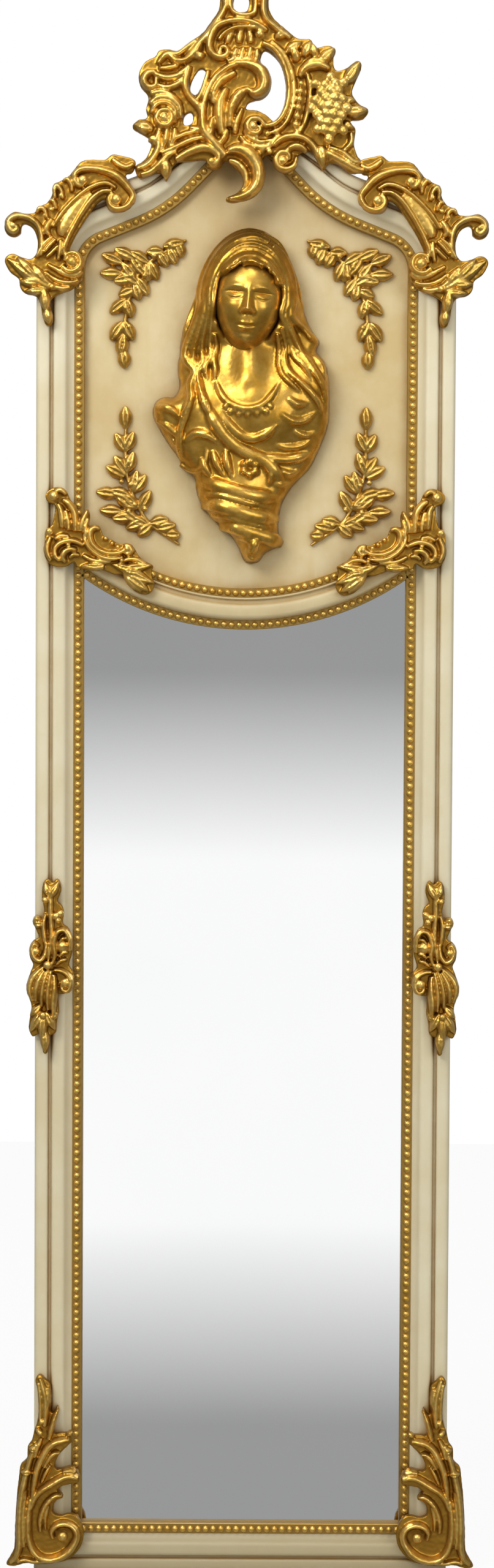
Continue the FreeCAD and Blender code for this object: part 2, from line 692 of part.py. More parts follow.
drop_shares = {
    "outline": [
        (0.45, 0.98), (0.56, 0.93), (0.60, 0.89), (0.66, 0.89), (0.68, 0.85), (0.64, 0.80), (0.70, 0.775),
        (0.84, 0.765), (0.87, 0.73), (0.80, 0.69), (0.76, 0.645), (0.86, 0.62), (0.93, 0.58), (0.92, 0.53),
        (0.88, 0.50), (0.93, 0.45), (0.98, 0.38), (0.92, 0.31), (0.90, 0.25), (0.94, 0.16), (0.86, 0.11),
        (0.74, 0.13), (0.68, 0.09), (0.66, 0.02), (0.59, 0.01), (0.56, 0.09), (0.48, 0.13), (0.45, 0.18),
        (0.40, 0.22), (0.42, 0.33), (0.30, 0.345), (0.16, 0.36), (0.08, 0.42), (0.10, 0.48), (0.16, 0.52),
        (0.14, 0.58), (0.10, 0.65), (0.20, 0.68), (0.28, 0.70), (0.32, 0.76), (0.31, 0.83), (0.36, 0.86), (0.36, 0.93),
    ],
    "scrolls": [(0.77, 0.575, 0.12, -30, 200, 0.045, 0.9)],
    "leaves": [
        ([(0.40, 0.94), (0.46, 0.95), (0.56, 0.90), (0.54, 0.86), (0.42, 0.88)], 0.8),
        ([(0.18, 0.64), (0.30, 0.67), (0.44, 0.62), (0.44, 0.53), (0.25, 0.53), (0.18, 0.58)], 0.6),
        ([(0.15, 0.43), (0.24, 0.47), (0.38, 0.43), (0.36, 0.38), (0.22, 0.38)], 0.6),
        ([(0.46, 0.24), (0.46, 0.38), (0.52, 0.46), (0.60, 0.40), (0.58, 0.24)], 0.8),
        ([(0.64, 0.22), (0.64, 0.40), (0.69, 0.47), (0.80, 0.44), (0.86, 0.35), (0.78, 0.22)], 1.0),
    ],
    "buttons": [(0.82, 0.165, 0.10, 0.8), (0.57, 0.15, 0.085, 0.6), (0.74, 0.735, 0.09, 0.7)],
}

foot_shares = {
    "outline": [
        (0.58, 0.99), (0.635, 0.96), (0.60, 0.90), (0.595, 0.82), (0.61, 0.75), (0.65, 0.70), (0.68, 0.65),
        (0.73, 0.62), (0.74, 0.56), (0.82, 0.525), (0.84, 0.47), (0.86, 0.40), (0.88, 0.30), (0.89, 0.20),
        (0.90, 0.10), (0.95, 0.055), (1.0, 0.015), (0.90, 0.005), (0.75, 0.02), (0.60, 0.015), (0.40, 0.02),
        (0.22, 0.04), (0.08, 0.09), (0.02, 0.15), (0.03, 0.21), (0.10, 0.26), (0.20, 0.275), (0.32, 0.265),
        (0.41, 0.28), (0.40, 0.32), (0.36, 0.345), (0.28, 0.36), (0.31, 0.385), (0.36, 0.395), (0.28, 0.42),
        (0.16, 0.43), (0.08, 0.44), (0.08, 0.48), (0.16, 0.52), (0.28, 0.51), (0.37, 0.505), (0.38, 0.54),
        (0.33, 0.58), (0.24, 0.62), (0.17, 0.65), (0.20, 0.69), (0.32, 0.69), (0.40, 0.69), (0.39, 0.74),
        (0.35, 0.80), (0.35, 0.83), (0.40, 0.80), (0.44, 0.80), (0.43, 0.87), (0.45, 0.94), (0.52, 0.97),
    ],
    "scrolls": [
        (0.44, 0.195, 0.345, -185, 42, 0.055, 1.0),
        (2.11, 0.755, 1.61, 164, 206, 0.045, 0.8),
        (0.27, 0.175, 0.17, -10, 185, 0.040, 0.8),
    ],
    "leaves": [
        ([(0.19, 0.66), (0.30, 0.68), (0.46, 0.65), (0.55, 0.58), (0.50, 0.56), (0.36, 0.61)], 0.6),
        ([(0.10, 0.46), (0.17, 0.51), (0.34, 0.50), (0.52, 0.44), (0.64, 0.37), (0.58, 0.35), (0.40, 0.41), (0.22, 0.44)], 0.7),
    ],
    "buttons": [(0.28, 0.17, 0.075, 0.9), (0.62, 0.68, 0.05, 0.6), (0.68, 0.60, 0.06, 0.7), (0.77, 0.49, 0.07, 0.8)],
}

bust_shares = {
    "outline": [
        (0.56, 0.995), (0.66, 0.97), (0.74, 0.90), (0.80, 0.82), (0.85, 0.74), (0.90, 0.66), (0.97, 0.62),
        (1.0, 0.55), (1.0, 0.45), (0.97, 0.36), (0.88, 0.29), (0.80, 0.22), (0.74, 0.17), (0.69, 0.14),
        (0.75, 0.09), (0.70, 0.06), (0.66, 0.02), (0.58, 0.0), (0.53, 0.05), (0.48, 0.09), (0.38, 0.12),
        (0.28, 0.18), (0.26, 0.26), (0.18, 0.31), (0.10, 0.36), (0.03, 0.42), (0.03, 0.46), (0.12, 0.50),
        (0.10, 0.57), (0.18, 0.64), (0.21, 0.74), (0.26, 0.82), (0.31, 0.90), (0.40, 0.97), (0.48, 0.99),
    ],
    "leaves": [
        ([(0.22, 0.44), (0.34, 0.55), (0.52, 0.54), (0.72, 0.57), (0.90, 0.52), (0.88, 0.38), (0.60, 0.32), (0.34, 0.34)],
         0.62),
        ([(0.32, 0.92), (0.24, 0.75), (0.20, 0.60), (0.23, 0.50), (0.32, 0.58), (0.38, 0.75), (0.44, 0.92)], 0.42),
        ([(0.70, 0.92), (0.81, 0.78), (0.85, 0.66), (0.95, 0.55), (0.86, 0.52), (0.76, 0.60), (0.70, 0.76)], 0.42),
        ([(0.29, 0.27), (0.60, 0.24), (0.78, 0.23), (0.68, 0.16), (0.32, 0.18)], 0.40),
        ([(0.37, 0.15), (0.60, 0.14), (0.72, 0.10), (0.60, 0.08), (0.44, 0.105)], 0.28),
    ],
    "buttons": [(0.53, 0.60, 0.16, 0.52), (0.58, 0.05, 0.055, 0.15)],
}

upper_sprig_shares = {
    "stem": [(0.05, 0.97), (0.30, 0.87), (0.50, 0.77), (0.62, 0.62), (0.69, 0.45), (0.72, 0.25), (0.72, 0.08)],
    "leaves": [
        (0.08, 0.95, 0.30, 0.92), (0.14, 0.94, 0.10, 0.84), (0.24, 0.90, 0.16, 0.79), (0.34, 0.87, 0.25, 0.77),
        (0.30, 0.88, 0.48, 0.88), (0.445, 0.80, 0.36, 0.67), (0.475, 0.785, 0.46, 0.66), (0.45, 0.795, 0.66, 0.88),
        (0.475, 0.785, 0.82, 0.90), (0.53, 0.735, 0.96, 0.86), (0.545, 0.715, 0.98, 0.72), (0.56, 0.69, 0.83, 0.66),
        (0.58, 0.68, 0.46, 0.56), (0.605, 0.64, 0.56, 0.52), (0.62, 0.60, 0.78, 0.55), (0.66, 0.54, 0.87, 0.42),
        (0.69, 0.52, 0.64, 0.39), (0.71, 0.38, 0.86, 0.22), (0.72, 0.36, 0.62, 0.22), (0.72, 0.26, 0.76, 0.10),
        (0.72, 0.14, 0.71, 0.01),
    ],
}

lower_sprig_shares = {
    "stem": [(0.65, 0.90), (0.66, 0.70), (0.63, 0.47), (0.50, 0.27), (0.36, 0.15), (0.06, 0.02)],
    "leaves": [
        (0.66, 0.82, 0.66, 0.99), (0.66, 0.68, 0.57, 0.81), (0.66, 0.68, 0.77, 0.80), (0.65, 0.52, 0.57, 0.67),
        (0.65, 0.52, 0.78, 0.64), (0.64, 0.49, 0.87, 0.57), (0.58, 0.38, 0.43, 0.51), (0.58, 0.37, 0.53, 0.54),
        (0.54, 0.35, 0.84, 0.40), (0.555, 0.355, 0.98, 0.39), (0.50, 0.29, 0.72, 0.31), (0.50, 0.26, 0.38, 0.40),
        (0.48, 0.25, 0.94, 0.26), (0.45, 0.22, 0.80, 0.20), (0.41, 0.195, 0.65, 0.13), (0.37, 0.16, 0.52, 0.08),
        (0.38, 0.17, 0.18, 0.20), (0.30, 0.13, 0.10, 0.16), (0.20, 0.09, 0.05, 0.09),
    ],
}


bust_foot = arch_centre_height - arch_glass_radius + arch_face_width + bust_gap


def bust():
    shape = carving(bust_shares, bust_left, bust_foot, bust_width, bust_height, rebate_depth,
                    rebate_depth + bust_base, bust_rise)
    middle = V(bust_left + head_shares[0] * bust_width, 0, bust_foot + head_shares[1] * bust_height)
    rings = []
    for share, lift in head_dome_shares:
        outline = round_outline(middle, (share * head_half_width, share * head_half_height), head_sides)
        rings.append([p - V(0, rebate_depth + lift * head_depth, 0) for p in outline])
    head = stacked(rings)
    head.rotate(middle, V(0, 1, 0), head_tilt)
    return shape.fuse(head).removeSplitter()


# Assembly

def without(shape, tools):
    for tool in tools:
        shape = shape.cut(tool)
    return shape


crest_foot = head_peak().z + peak_cover - crest_cover
glass_corner = arch_height_at(arch_glass_radius, sight_half)
shoulder_left = half_width + shoulder_overhang - shoulder_width
shoulder_foot = stile_height - shoulder_drop
arch_corner_left = half_width - arch_corner_set_in - arch_corner_width
arch_corner_foot = glass_corner - arch_corner_drop
drop_left = half_width + drop_overhang - drop_width
drop_foot = drop_place_share * stile_height - drop_height / 2
foot_left = half_width + foot_overhang - foot_width
upper_sprig_width = sight_half - upper_sprig_gap - upper_sprig_left
upper_sprig_foot = stile_height - upper_sprig_drop
lower_sprig_width = sight_half - lower_sprig_gap - lower_sprig_left
lower_sprig_foot = glass_corner + lower_sprig_lift


def frame_carving(shares, left, foot, width, height):
    return carving(shares, left, foot, width, height, crown_depth, crown_depth + ornament_board, ornament_rise)


def shoulder_scroll():
    return frame_carving(shoulder_shares, shoulder_left, shoulder_foot, shoulder_width, shoulder_height)


def paired_parts():
    """Pieces on the right side, each of which has a mirrored partner."""
    splines = mitre_splines()
    strap_screws = hanger_screws()
    stile = along_stile(frame_section).cut(hanger_pocket())
    return {
        "stile": without(stile, head_dowels() + splines + strap_screws),
        "bead_side": along_stile(bead_section),
        "glass_batten": glass_batten(),
        "panel_batten": panel_batten(),
        "hanger_strap": without(hanger_strap(), strap_screws),
        "hanger_ring": hanger_ring(),
        "shoulder_scroll": shoulder_scroll(),
        "arch_corner": frame_carving(arch_corner_shares, arch_corner_left, arch_corner_foot, arch_corner_width,
                                     arch_corner_height),
        "side_drop": frame_carving(drop_shares, drop_left, drop_foot, drop_width, drop_height),
        "foot_scroll": frame_carving(foot_shares, foot_left, foot_lift, foot_width, foot_height),
        "upper_sprig": sprig(upper_sprig_shares, upper_sprig_left, upper_sprig_foot, upper_sprig_width,
                             upper_sprig_height),
        "lower_sprig": sprig(lower_sprig_shares, lower_sprig_left, lower_sprig_foot, lower_sprig_width,
                             lower_sprig_height),
    }


def single_parts():
    """Pieces on the centre line, and the groups of small fittings."""
    arch_inner = arch_glass_radius - arch_face_width
    crest = carving(crest_shares, crest_left, crest_foot, crest_width, crest_height, crown_depth,
                    crown_depth + crest_board, crest_rise)
    return {
        "bottom_rail": without(along_bottom(frame_section), mitre_splines()),
        "head_rail": without(along_head(frame_section).common(head_trim()), head_dowels()),
        "arch_rail": arch_rail(),
        "relief_panel": relief_panel(),
        "mirror_glass": below_arch(rebate_depth, glass_back),
        "glass_backing": below_arch(glass_back, backing_back),
        "bead_bottom": along_bottom(bead_section),
        "bead_head": along_head(bead_section),
        "bead_arch_upper": arch_bead(arch_inner + arch_seat_width / 2),
        "bead_arch_lower": arch_bead(arch_glass_radius - arch_seat_width / 2),
        "crest": without(crest, [shoulder_scroll(), mirrored(shoulder_scroll())]),
        "bust": bust(),
        "bottom_batten": bottom_batten(),
        "arch_batten": arch_batten(),
        "hanger_screws": Part.makeCompound(hanger_screws()),
        "head_dowels": Part.makeCompound(head_dowels()),
        "mitre_splines": Part.makeCompound(mitre_splines()),
    }


os.makedirs("parts", exist_ok=True)
for name, shape in paired_parts().items():
    shape.exportStep("parts/" + name + "_right.step")
    mirrored(shape).exportStep("parts/" + name + "_left.step")
for name, shape in single_parts().items():
    shape.exportStep("parts/" + name + ".step")
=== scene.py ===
import math

import bmesh
import bpy
from mathutils import Matrix, Vector, noise


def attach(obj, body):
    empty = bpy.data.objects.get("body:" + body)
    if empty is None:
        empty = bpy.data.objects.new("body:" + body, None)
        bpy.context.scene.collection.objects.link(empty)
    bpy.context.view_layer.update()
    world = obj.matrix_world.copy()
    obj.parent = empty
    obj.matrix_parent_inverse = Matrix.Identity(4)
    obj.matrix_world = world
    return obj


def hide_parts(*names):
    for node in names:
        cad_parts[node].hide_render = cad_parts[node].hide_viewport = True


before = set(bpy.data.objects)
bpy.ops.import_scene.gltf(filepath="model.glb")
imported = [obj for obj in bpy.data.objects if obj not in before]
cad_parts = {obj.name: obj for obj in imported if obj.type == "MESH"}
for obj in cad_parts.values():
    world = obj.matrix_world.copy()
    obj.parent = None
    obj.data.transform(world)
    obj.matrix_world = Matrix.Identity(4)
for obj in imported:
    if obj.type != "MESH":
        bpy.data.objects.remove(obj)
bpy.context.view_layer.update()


# Frame moulding: stiles, bottom rail and shaped head, softwood run to one section, mitred at the foot and
# painted cream over gesso. The paint is rubbed back, and brown glaze is left in the groove and the corners.
MM = 0.001
SIGHT_HALF = 183.0
STILE_TOP = 1478.0
FACE = 54.0
REBATE = 16.0
SEAT = 12.0
MOULDING = [
    (0, 16), (0, 23.2), (0.8, 24), (11.4, 24), (12.4, 24.4), (14, 25.2), (16, 26.8), (17.6, 28.8), (18.8, 31),
    (19.8, 33), (21, 34.4), (22.8, 35.3), (25, 35.6), (28, 35.7), (30.6, 36), (32.6, 35.8), (34, 34.8), (34.7, 33.2),
    (34.9, 30.9), (35.5, 30.2), (37.9, 30.2), (38.5, 30.9), (38.7, 33), (39.4, 34.8), (40.8, 35.8), (43, 36),
    (47.4, 36), (50.2, 35.6), (52.2, 34.4), (53.5, 32.2), (54, 29.4), (54, 0.8), (53.2, 0), (16.8, 0), (16, 0.8),
    (16, 16)]
HEAD_RISE = [("run", 13.0), ("turn", 32.0, 68.0), ("run", 45.0), ("turn", 176.0, -24.0), ("run", 57.2)]
HEAD_PEAK = ("turn", 29.0, 92.0)
HEAD_COVERS = [1.0, 0.95, 0.9, 1.0, 1.0, 0.94, 0.92, 0.58, 0.34]
HEAD_STEP = 4.0
POCKET = (203.0, 233.0, -7.0, 1.0, 1208.0, 1274.0)
CREAM_LIGHT = (0.63, 0.57, 0.40, 1)
CREAM_DEEP = (0.56, 0.475, 0.285, 1)
BARE_LIGHT = (0.58, 0.40, 0.22, 1)
BARE_DEEP = (0.44, 0.28, 0.14, 1)
# Painted shade: the colour the cream paint darkens to towards the foot, where the light falls off.
FOOT_SHADE_COLOUR = (0.36, 0.29, 0.155, 1)
BROWN_GLAZE = (0.43, 0.26, 0.072, 1)
DARK_GLAZE = (0.24, 0.115, 0.018, 1)
STREAKS = (60, 60, 5)
SMUDGES = (15, 15, 8)
FOOT_SHADE_TOP = 0.14
FOOT_SHADE_MOST = 0.95
TOP_BROWNING_MOST = 0.58
TIGHT_GROOVE = (0.012, 0.24, 0.52)
BEHIND = (0.6, 0.9)


def add(tree, kind, links=None, **settings):
    """A shader node with its settings made and its sockets linked or set."""
    node = tree.nodes.new(kind)
    for key, value in settings.items():
        setattr(node, key, value)
    for key, value in (links or {}).items():
        if isinstance(value, bpy.types.NodeSocket):
            tree.links.new(value, node.inputs[key])
        else:
            node.inputs[key].default_value = value
    return node


def ramp(tree, source, stops):
    """A colour ramp on a grey value: stops are a place and a colour or a grey level."""
    node = add(tree, "ShaderNodeValToRGB", {"Fac": source})
    while len(node.color_ramp.elements) < len(stops):
        node.color_ramp.elements.new(0.5)
    for element, (place, colour) in zip(node.color_ramp.elements, stops):
        element.position = place
        element.color = colour if isinstance(colour, tuple) else (colour, colour, colour, 1)
    return node.outputs["Color"]


def mixed(tree, share, first, second, blend="MIX"):
    return add(tree, "ShaderNodeMixRGB", {"Fac": share, "Color1": first, "Color2": second},
               blend_type=blend).outputs["Color"]


def new_finish(name):
    material = bpy.data.materials.new(name)
    material.use_nodes = True
    tree = material.node_tree
    place = add(tree, "ShaderNodeTexCoord").outputs["Object"]
    return material, tree, tree.nodes["Principled BSDF"], place


def grain(tree, place, scale, detail=5.0, roughness=0.6):
    return add(tree, "ShaderNodeTexNoise", {"Vector": place, "Scale": scale, "Detail": detail,
                                            "Roughness": roughness}).outputs["Fac"]


def stretched(tree, place, scale):
    return add(tree, "ShaderNodeMapping", {"Vector": place, "Scale": scale}).outputs["Vector"]


def axis(tree, vector, name):
    return add(tree, "ShaderNodeSeparateXYZ", {"Vector": vector}).outputs[name]


def spread(tree, value, low, high, most=1.0):
    """A grey from 0 at the low value to the most at the high one."""
    return add(tree, "ShaderNodeMapRange", {"Value": value, "From Min": low, "From Max": high,
                                            "To Max": most}).outputs["Result"]


def bumped(tree, shader, height, strength, distance):
    node = add(tree, "ShaderNodeBump", {"Height": height, "Strength": strength, "Distance": distance})
    tree.links.new(node.outputs["Normal"], shader.inputs["Normal"])


def hollows(tree, distance, low, high):
    """1 in corners and recesses, 0 on open faces."""
    shade = add(tree, "ShaderNodeAmbientOcclusion", {"Distance": distance}, samples=8)
    return ramp(tree, shade.outputs["AO"], [(low, 1.0), (high, 0.0)])


def cream_finish(name, light, deep, glaze, reach, low, high, browning=None):
    """Clouded and streaked paint, darkened towards the foot as painted shade where the light falls off, with glaze in
    its hollows and bare wood behind. Browning, if given, is the two heights between which the paint browns towards
    the top."""
    material, tree, shader, place = new_finish(name)
    cloud = grain(tree, place, 9.0)
    streak = grain(tree, stretched(tree, place, STREAKS), 1.0, 3.0)
    paint = mixed(tree, ramp(tree, cloud, [(0.36, 0.0), (0.68, 1.0)]), light, deep)
    paint = mixed(tree, ramp(tree, streak, [(0.50, 0.0), (0.80, 0.35)]), paint, deep)
    up = axis(tree, place, "Z")
    # Painted shade: the paint darkens towards the foot, where the light falls off.
    paint = mixed(tree, spread(tree, up, FOOT_SHADE_TOP, 0.0, FOOT_SHADE_MOST), paint, FOOT_SHADE_COLOUR)
    if browning:
        # The paint is made browner between the two given heights, towards the top.
        paint = mixed(tree, spread(tree, up, *browning, TOP_BROWNING_MOST), paint, glaze)
        smudge = grain(tree, stretched(tree, place, SMUDGES), 1.0, 4.0)
        paint = mixed(tree, ramp(tree, smudge, [(0.48, 0.0), (0.74, 0.34)]), paint, glaze)
    patchy = ramp(tree, grain(tree, place, 26.0), [(0.36, 0.45), (0.62, 1.0)])
    left = mixed(tree, 1.0, hollows(tree, reach, low, high), patchy, "MULTIPLY")
    thick = hollows(tree, *TIGHT_GROOVE)
    left = mixed(tree, 1.0, left, thick, "LIGHTEN")
    facing = axis(tree, add(tree, "ShaderNodeTexCoord").outputs["Normal"], "Y")
    bare = mixed(tree, ramp(tree, streak, [(0.3, 0.0), (0.7, 1.0)]), BARE_LIGHT, BARE_DEEP)
    paint = mixed(tree, left, paint, mixed(tree, thick, glaze, DARK_GLAZE))
    paint = mixed(tree, spread(tree, facing, *BEHIND), paint, bare)
    tree.links.new(paint, shader.inputs["Base Color"])
    fine = grain(tree, place, 260.0, 3.0)
    tree.links.new(ramp(tree, fine, [(0.3, 0.40), (0.7, 0.56)]), shader.inputs["Roughness"])
    bumped(tree, shader, fine, 0.12, 0.0004)
    return material


cream_paint = cream_finish("cream_paint", CREAM_LIGHT, CREAM_DEEP, BROWN_GLAZE, 0.012, 0.30, 0.72)


def swept(stations):
    """A closed section carried through its stations, each a list of points in millimetres, with flat ends."""
    bm = bmesh.new()
    ring = [bm.verts.new(Vector(p) * MM) for p in stations[0]]
    edges = [bm.edges.new((a, b)) for a, b in zip(ring, ring[1:] + ring[:1])]
    bm.faces.new(ring)
    for station in stations[1:]:
        grown = bmesh.ops.extrude_edge_only(bm, edges=edges)["geom"]
        fresh = {g for g in grown if isinstance(g, bmesh.types.BMVert)}
        edges = [g for g in grown if isinstance(g, bmesh.types.BMEdge) and set(g.verts) <= fresh]
        ring = [next(e.other_vert(v) for e in v.link_edges if e.other_vert(v) in fresh) for v in ring]
        for vert, point in zip(ring, station):
            vert.co = Vector(point) * MM
    bm.faces.new(ring)
    bmesh.ops.recalc_face_normals(bm, faces=bm.faces)
    return bm


def mirrored(bm):
    """The left-hand copy of a right-hand piece."""
    other = bm.copy()
    bmesh.ops.scale(other, vec=(-1, 1, 1), verts=other.verts)
    bmesh.ops.reverse_faces(other, faces=other.faces)
    return other


def shown(name, bm, finish, sharp=38.0):
    """The mesh as an object, smooth but for its sharp edges."""
    mesh = bpy.data.meshes.new(name)
    bm.to_mesh(mesh)
    bm.free()
    mesh.materials.append(finish)
    mesh.shade_smooth()
    mesh.set_sharp_from_angle(angle=math.radians(sharp))
    piece = bpy.data.objects.new(name, mesh)
    bpy.context.scene.collection.objects.link(piece)
    return piece


def settled(piece):
    """The mesh of an object with its modifiers done, in place of the object."""
    bpy.context.view_layer.update()
    mesh = bpy.data.meshes.new_from_object(piece.evaluated_get(bpy.context.evaluated_depsgraph_get()))
    bm = bmesh.new()
    bm.from_mesh(mesh)
    bpy.data.meshes.remove(mesh)
    bpy.data.objects.remove(piece)
    return bm


def outward(heading):
    return Vector((math.sin(math.radians(heading)), 0, -math.cos(math.radians(heading))))


def head_path():
    """Places, headings and outer covers along the head's sight edge, from the right joint to the left one."""
    place, heading = Vector((SIGHT_HALF, 0, STILE_TOP)), 90.0
    marks = []
    for move in HEAD_RISE + [HEAD_PEAK] + HEAD_RISE[::-1]:
        if move[0] == "run":
            steps = max(2, round(move[1] / (2 * HEAD_STEP)))
            way = outward(heading + 90) * move[1]
            spots = [(place + way * i / steps, heading) for i in range(1, steps + 1)]
        else:
            side = math.copysign(move[1], move[2])
            centre = place - outward(heading) * side
            steps = 2 * max(2, round(abs(move[2]) / (2 * HEAD_STEP)))
            turned = [heading + move[2] * i / steps for i in range(1, steps + 1)]
            spots = [(centre + outward(h) * side, h) for h in turned]
        marks.append((move, spots))
        place, heading = spots[-1]
    path = [(Vector((SIGHT_HALF, 0, STILE_TOP)), 90.0)]
    knots = [0]
    for move, spots in marks:
        if move[0] == "turn":
            knots.append(len(path) + len(spots) // 2 - 1)
        path += spots
        knots.append(len(path) - 1)
    covers = HEAD_COVERS + HEAD_COVERS[-2::-1]
    wide = []
    for (a, b), (ca, cb) in zip(zip(knots, knots[1:]), zip(covers, covers[1:])):
        wide += [ca + (cb - ca) * (i - a) / (b - a) for i in range(a, b)]
    wide.append(covers[-1])
    return [(p, h, w * FACE) for (p, h), w in zip(path, wide)]


def head_section(place, heading, cover):
    out = outward(heading)
    points = []
    for t, d in MOULDING:
        kept = t <= SEAT or (t <= REBATE + 1 and d <= REBATE)
        reach = t if kept else SEAT + (t - SEAT) * (cover - SEAT) / (FACE - SEAT)
        points.append(place + out * reach - Vector((0, d, 0)))
    return points


def stile_mesh():
    foot = [(SIGHT_HALF + t, -d, FACE - t) for t, d in MOULDING]
    top = [(SIGHT_HALF + t, -d, STILE_TOP) for t, d in MOULDING]
    bm = swept([foot, top])
    x0, x1, y0, y1, z0, z1 = POCKET
    cutter = bmesh.new()
    middle = Vector(((x0 + x1) / 2, (y0 + y1) / 2, (z0 + z1) / 2)) * MM
    size = Matrix.Diagonal(Vector((x1 - x0, y1 - y0, z1 - z0, 1 / MM)) * MM)
    bmesh.ops.create_cube(cutter, size=1, matrix=Matrix.Translation(middle) @ size)
    whole, tool = shown("stile_blank", bm, cream_paint), shown("pocket_cutter", cutter, cream_paint)
    cut = whole.modifiers.new("pocket", "BOOLEAN")
    cut.object, cut.operation, cut.solver = tool, "DIFFERENCE", "EXACT"
    bm = settled(whole)
    bpy.data.objects.remove(tool)
    return bm


stile = stile_mesh()
members = {
    "stile_left": mirrored(stile),
    "stile_right": stile,
    "bottom_rail": swept([[(side * (SIGHT_HALF + t), -d, FACE - t) for t, d in MOULDING] for side in (-1, 1)]),
    "head_rail": swept([head_section(*spot) for spot in head_path()]),
}
for node, bm in members.items():
    member = shown(node + "_moulding", bm, cream_paint)
    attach(member, "frame")
    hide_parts(node)


# Arch rail: the same painted moulding turned to a hanging arc, with a bead seat on both edges, a lip and a
# groove above and a broad band below. A web behind it parts the glass from the relief panel.
ARCH_CENTRE = 1402.8
ARCH_GLASS = 319.5
ARCH_INNER = 273.5
ARCH_STEPS = 64
WEB_HALF = 199.0
ARCH_LIGHT = (0.53, 0.435, 0.245, 1)
ARCH_DEEP = (0.43, 0.325, 0.155, 1)
ARCH_MOULDING = [
    (273.5, 16), (273.5, 23.3), (274.2, 24), (283.2, 24), (283.5, 24.4), (283.6, 32.4), (284.3, 33.3), (285.4, 33.3),
    (286.1, 32.6), (286.4, 30.6), (287, 30), (290.6, 30), (291.2, 30.6), (291.6, 32.8), (293, 34.8), (295.4, 35.9),
    (298, 36), (303.5, 36), (305.6, 35.3), (307.2, 33.4), (308.2, 30.4), (308.8, 27), (309.8, 24.6), (310.8, 24),
    (318.8, 24), (319.5, 23.3), (319.5, 16), (306.5, 16), (306.5, 0), (286.5, 0), (286.5, 16)]


def arch_spot(radius, depth, share, half):
    turn = math.asin(half / radius) * share
    return (radius * math.sin(turn), -depth, ARCH_CENTRE - radius * math.cos(turn))


arch_paint = cream_finish("arch_paint", ARCH_LIGHT, ARCH_DEEP, BROWN_GLAZE, 0.016, 0.45, 0.95)
arch_shares = [2 * i / ARCH_STEPS - 1 for i in range(ARCH_STEPS + 1)]
web = [286.5, 306.5]
arch_rail = shown("arch_rail_moulding", swept(
    [[arch_spot(r, d, s, WEB_HALF if r in web and d <= REBATE else SIGHT_HALF) for r, d in ARCH_MOULDING]
     for s in arch_shares]), arch_paint)
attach(arch_rail, "frame")
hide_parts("arch_rail")


# Bead strips: rows of round pearls on a thin fillet, moulded in composition, glued into the bead seats and
# gilded. The fillet between the pearls is browned as painted shade.
BEAD_PITCH = 8.8
BEAD_RADIUS = 3.9
BEAD_CENTRE = 25.0
STRIP_HALF = 5.2
STRIP_FOOT = 16.2
STRIP_SIDE = 24.7
STRIP_TOP = 25.2
STRIP_EASE = 0.6
BEAD_SEAT = 24.0
ARCH_ROW = 4.9
CORNER_GAP = 4.0
LIP = 0.3
GILT_METAL = 0.86
GILT_SHINE = 0.1
GOLD_BRIGHT = (0.91, 0.60, 0.165, 1)
GOLD_DEEP = (0.55, 0.33, 0.062, 1)
GOLD_SHADE = (0.37, 0.19, 0.024, 1)
BEAD_SHADE = (0.40, 0.245, 0.06, 1)


def gilt_finish(name, bright, deep, shade, reach, low, high, polish, floor=None, crown=None):
    """Gold leaf, duller in its hollows. The floor and the crown are the two depths and the two heights between which
    it browns. On the bead fillet the floor browning is painted shade; on the carvings' ground it is partly painted
    shade and partly unburnished ground."""
    material, tree, shader, place = new_finish(name)
    cloud = grain(tree, place, 55.0)
    leaf = mixed(tree, ramp(tree, cloud, [(0.36, 0.0), (0.66, 1.0)]), bright, deep)
    edge = add(tree, "ShaderNodeNewGeometry").outputs["Pointiness"]
    leaf = mixed(tree, ramp(tree, edge, [(0.46, 1.0), (0.52, 0.0)]), leaf, deep)
    worn = hollows(tree, reach, low, high)
    # Browning by depth: painted shade on the bead fillet, partly painted shade on the carvings' low ground.
    if floor:
        worn = mixed(tree, 1.0, worn, spread(tree, axis(tree, place, "Y"), *floor), "LIGHTEN")
    if crown:
        worn = mixed(tree, 1.0, worn, spread(tree, axis(tree, place, "Z"), *crown), "LIGHTEN")
    tree.links.new(mixed(tree, worn, leaf, shade), shader.inputs["Base Color"])
    shader.inputs["Metallic"].default_value = GILT_METAL
    shader.inputs["Specular IOR Level"].default_value = GILT_SHINE
    fine = grain(tree, place, 420.0, 3.0)
    tree.links.new(ramp(tree, cloud, [(0.3, polish), (0.75, polish + 0.16)]), shader.inputs["Roughness"])
    bumped(tree, shader, fine, 0.10, 0.0004)
    return material


# Painted shade: the floor depths brown the fillet between the pearls.
bead_gilt = gilt_finish("bead_gilt", GOLD_BRIGHT, GOLD_DEEP, BEAD_SHADE, 0.006, 0.25, 0.70, 0.30, (-0.0264, -0.0252))


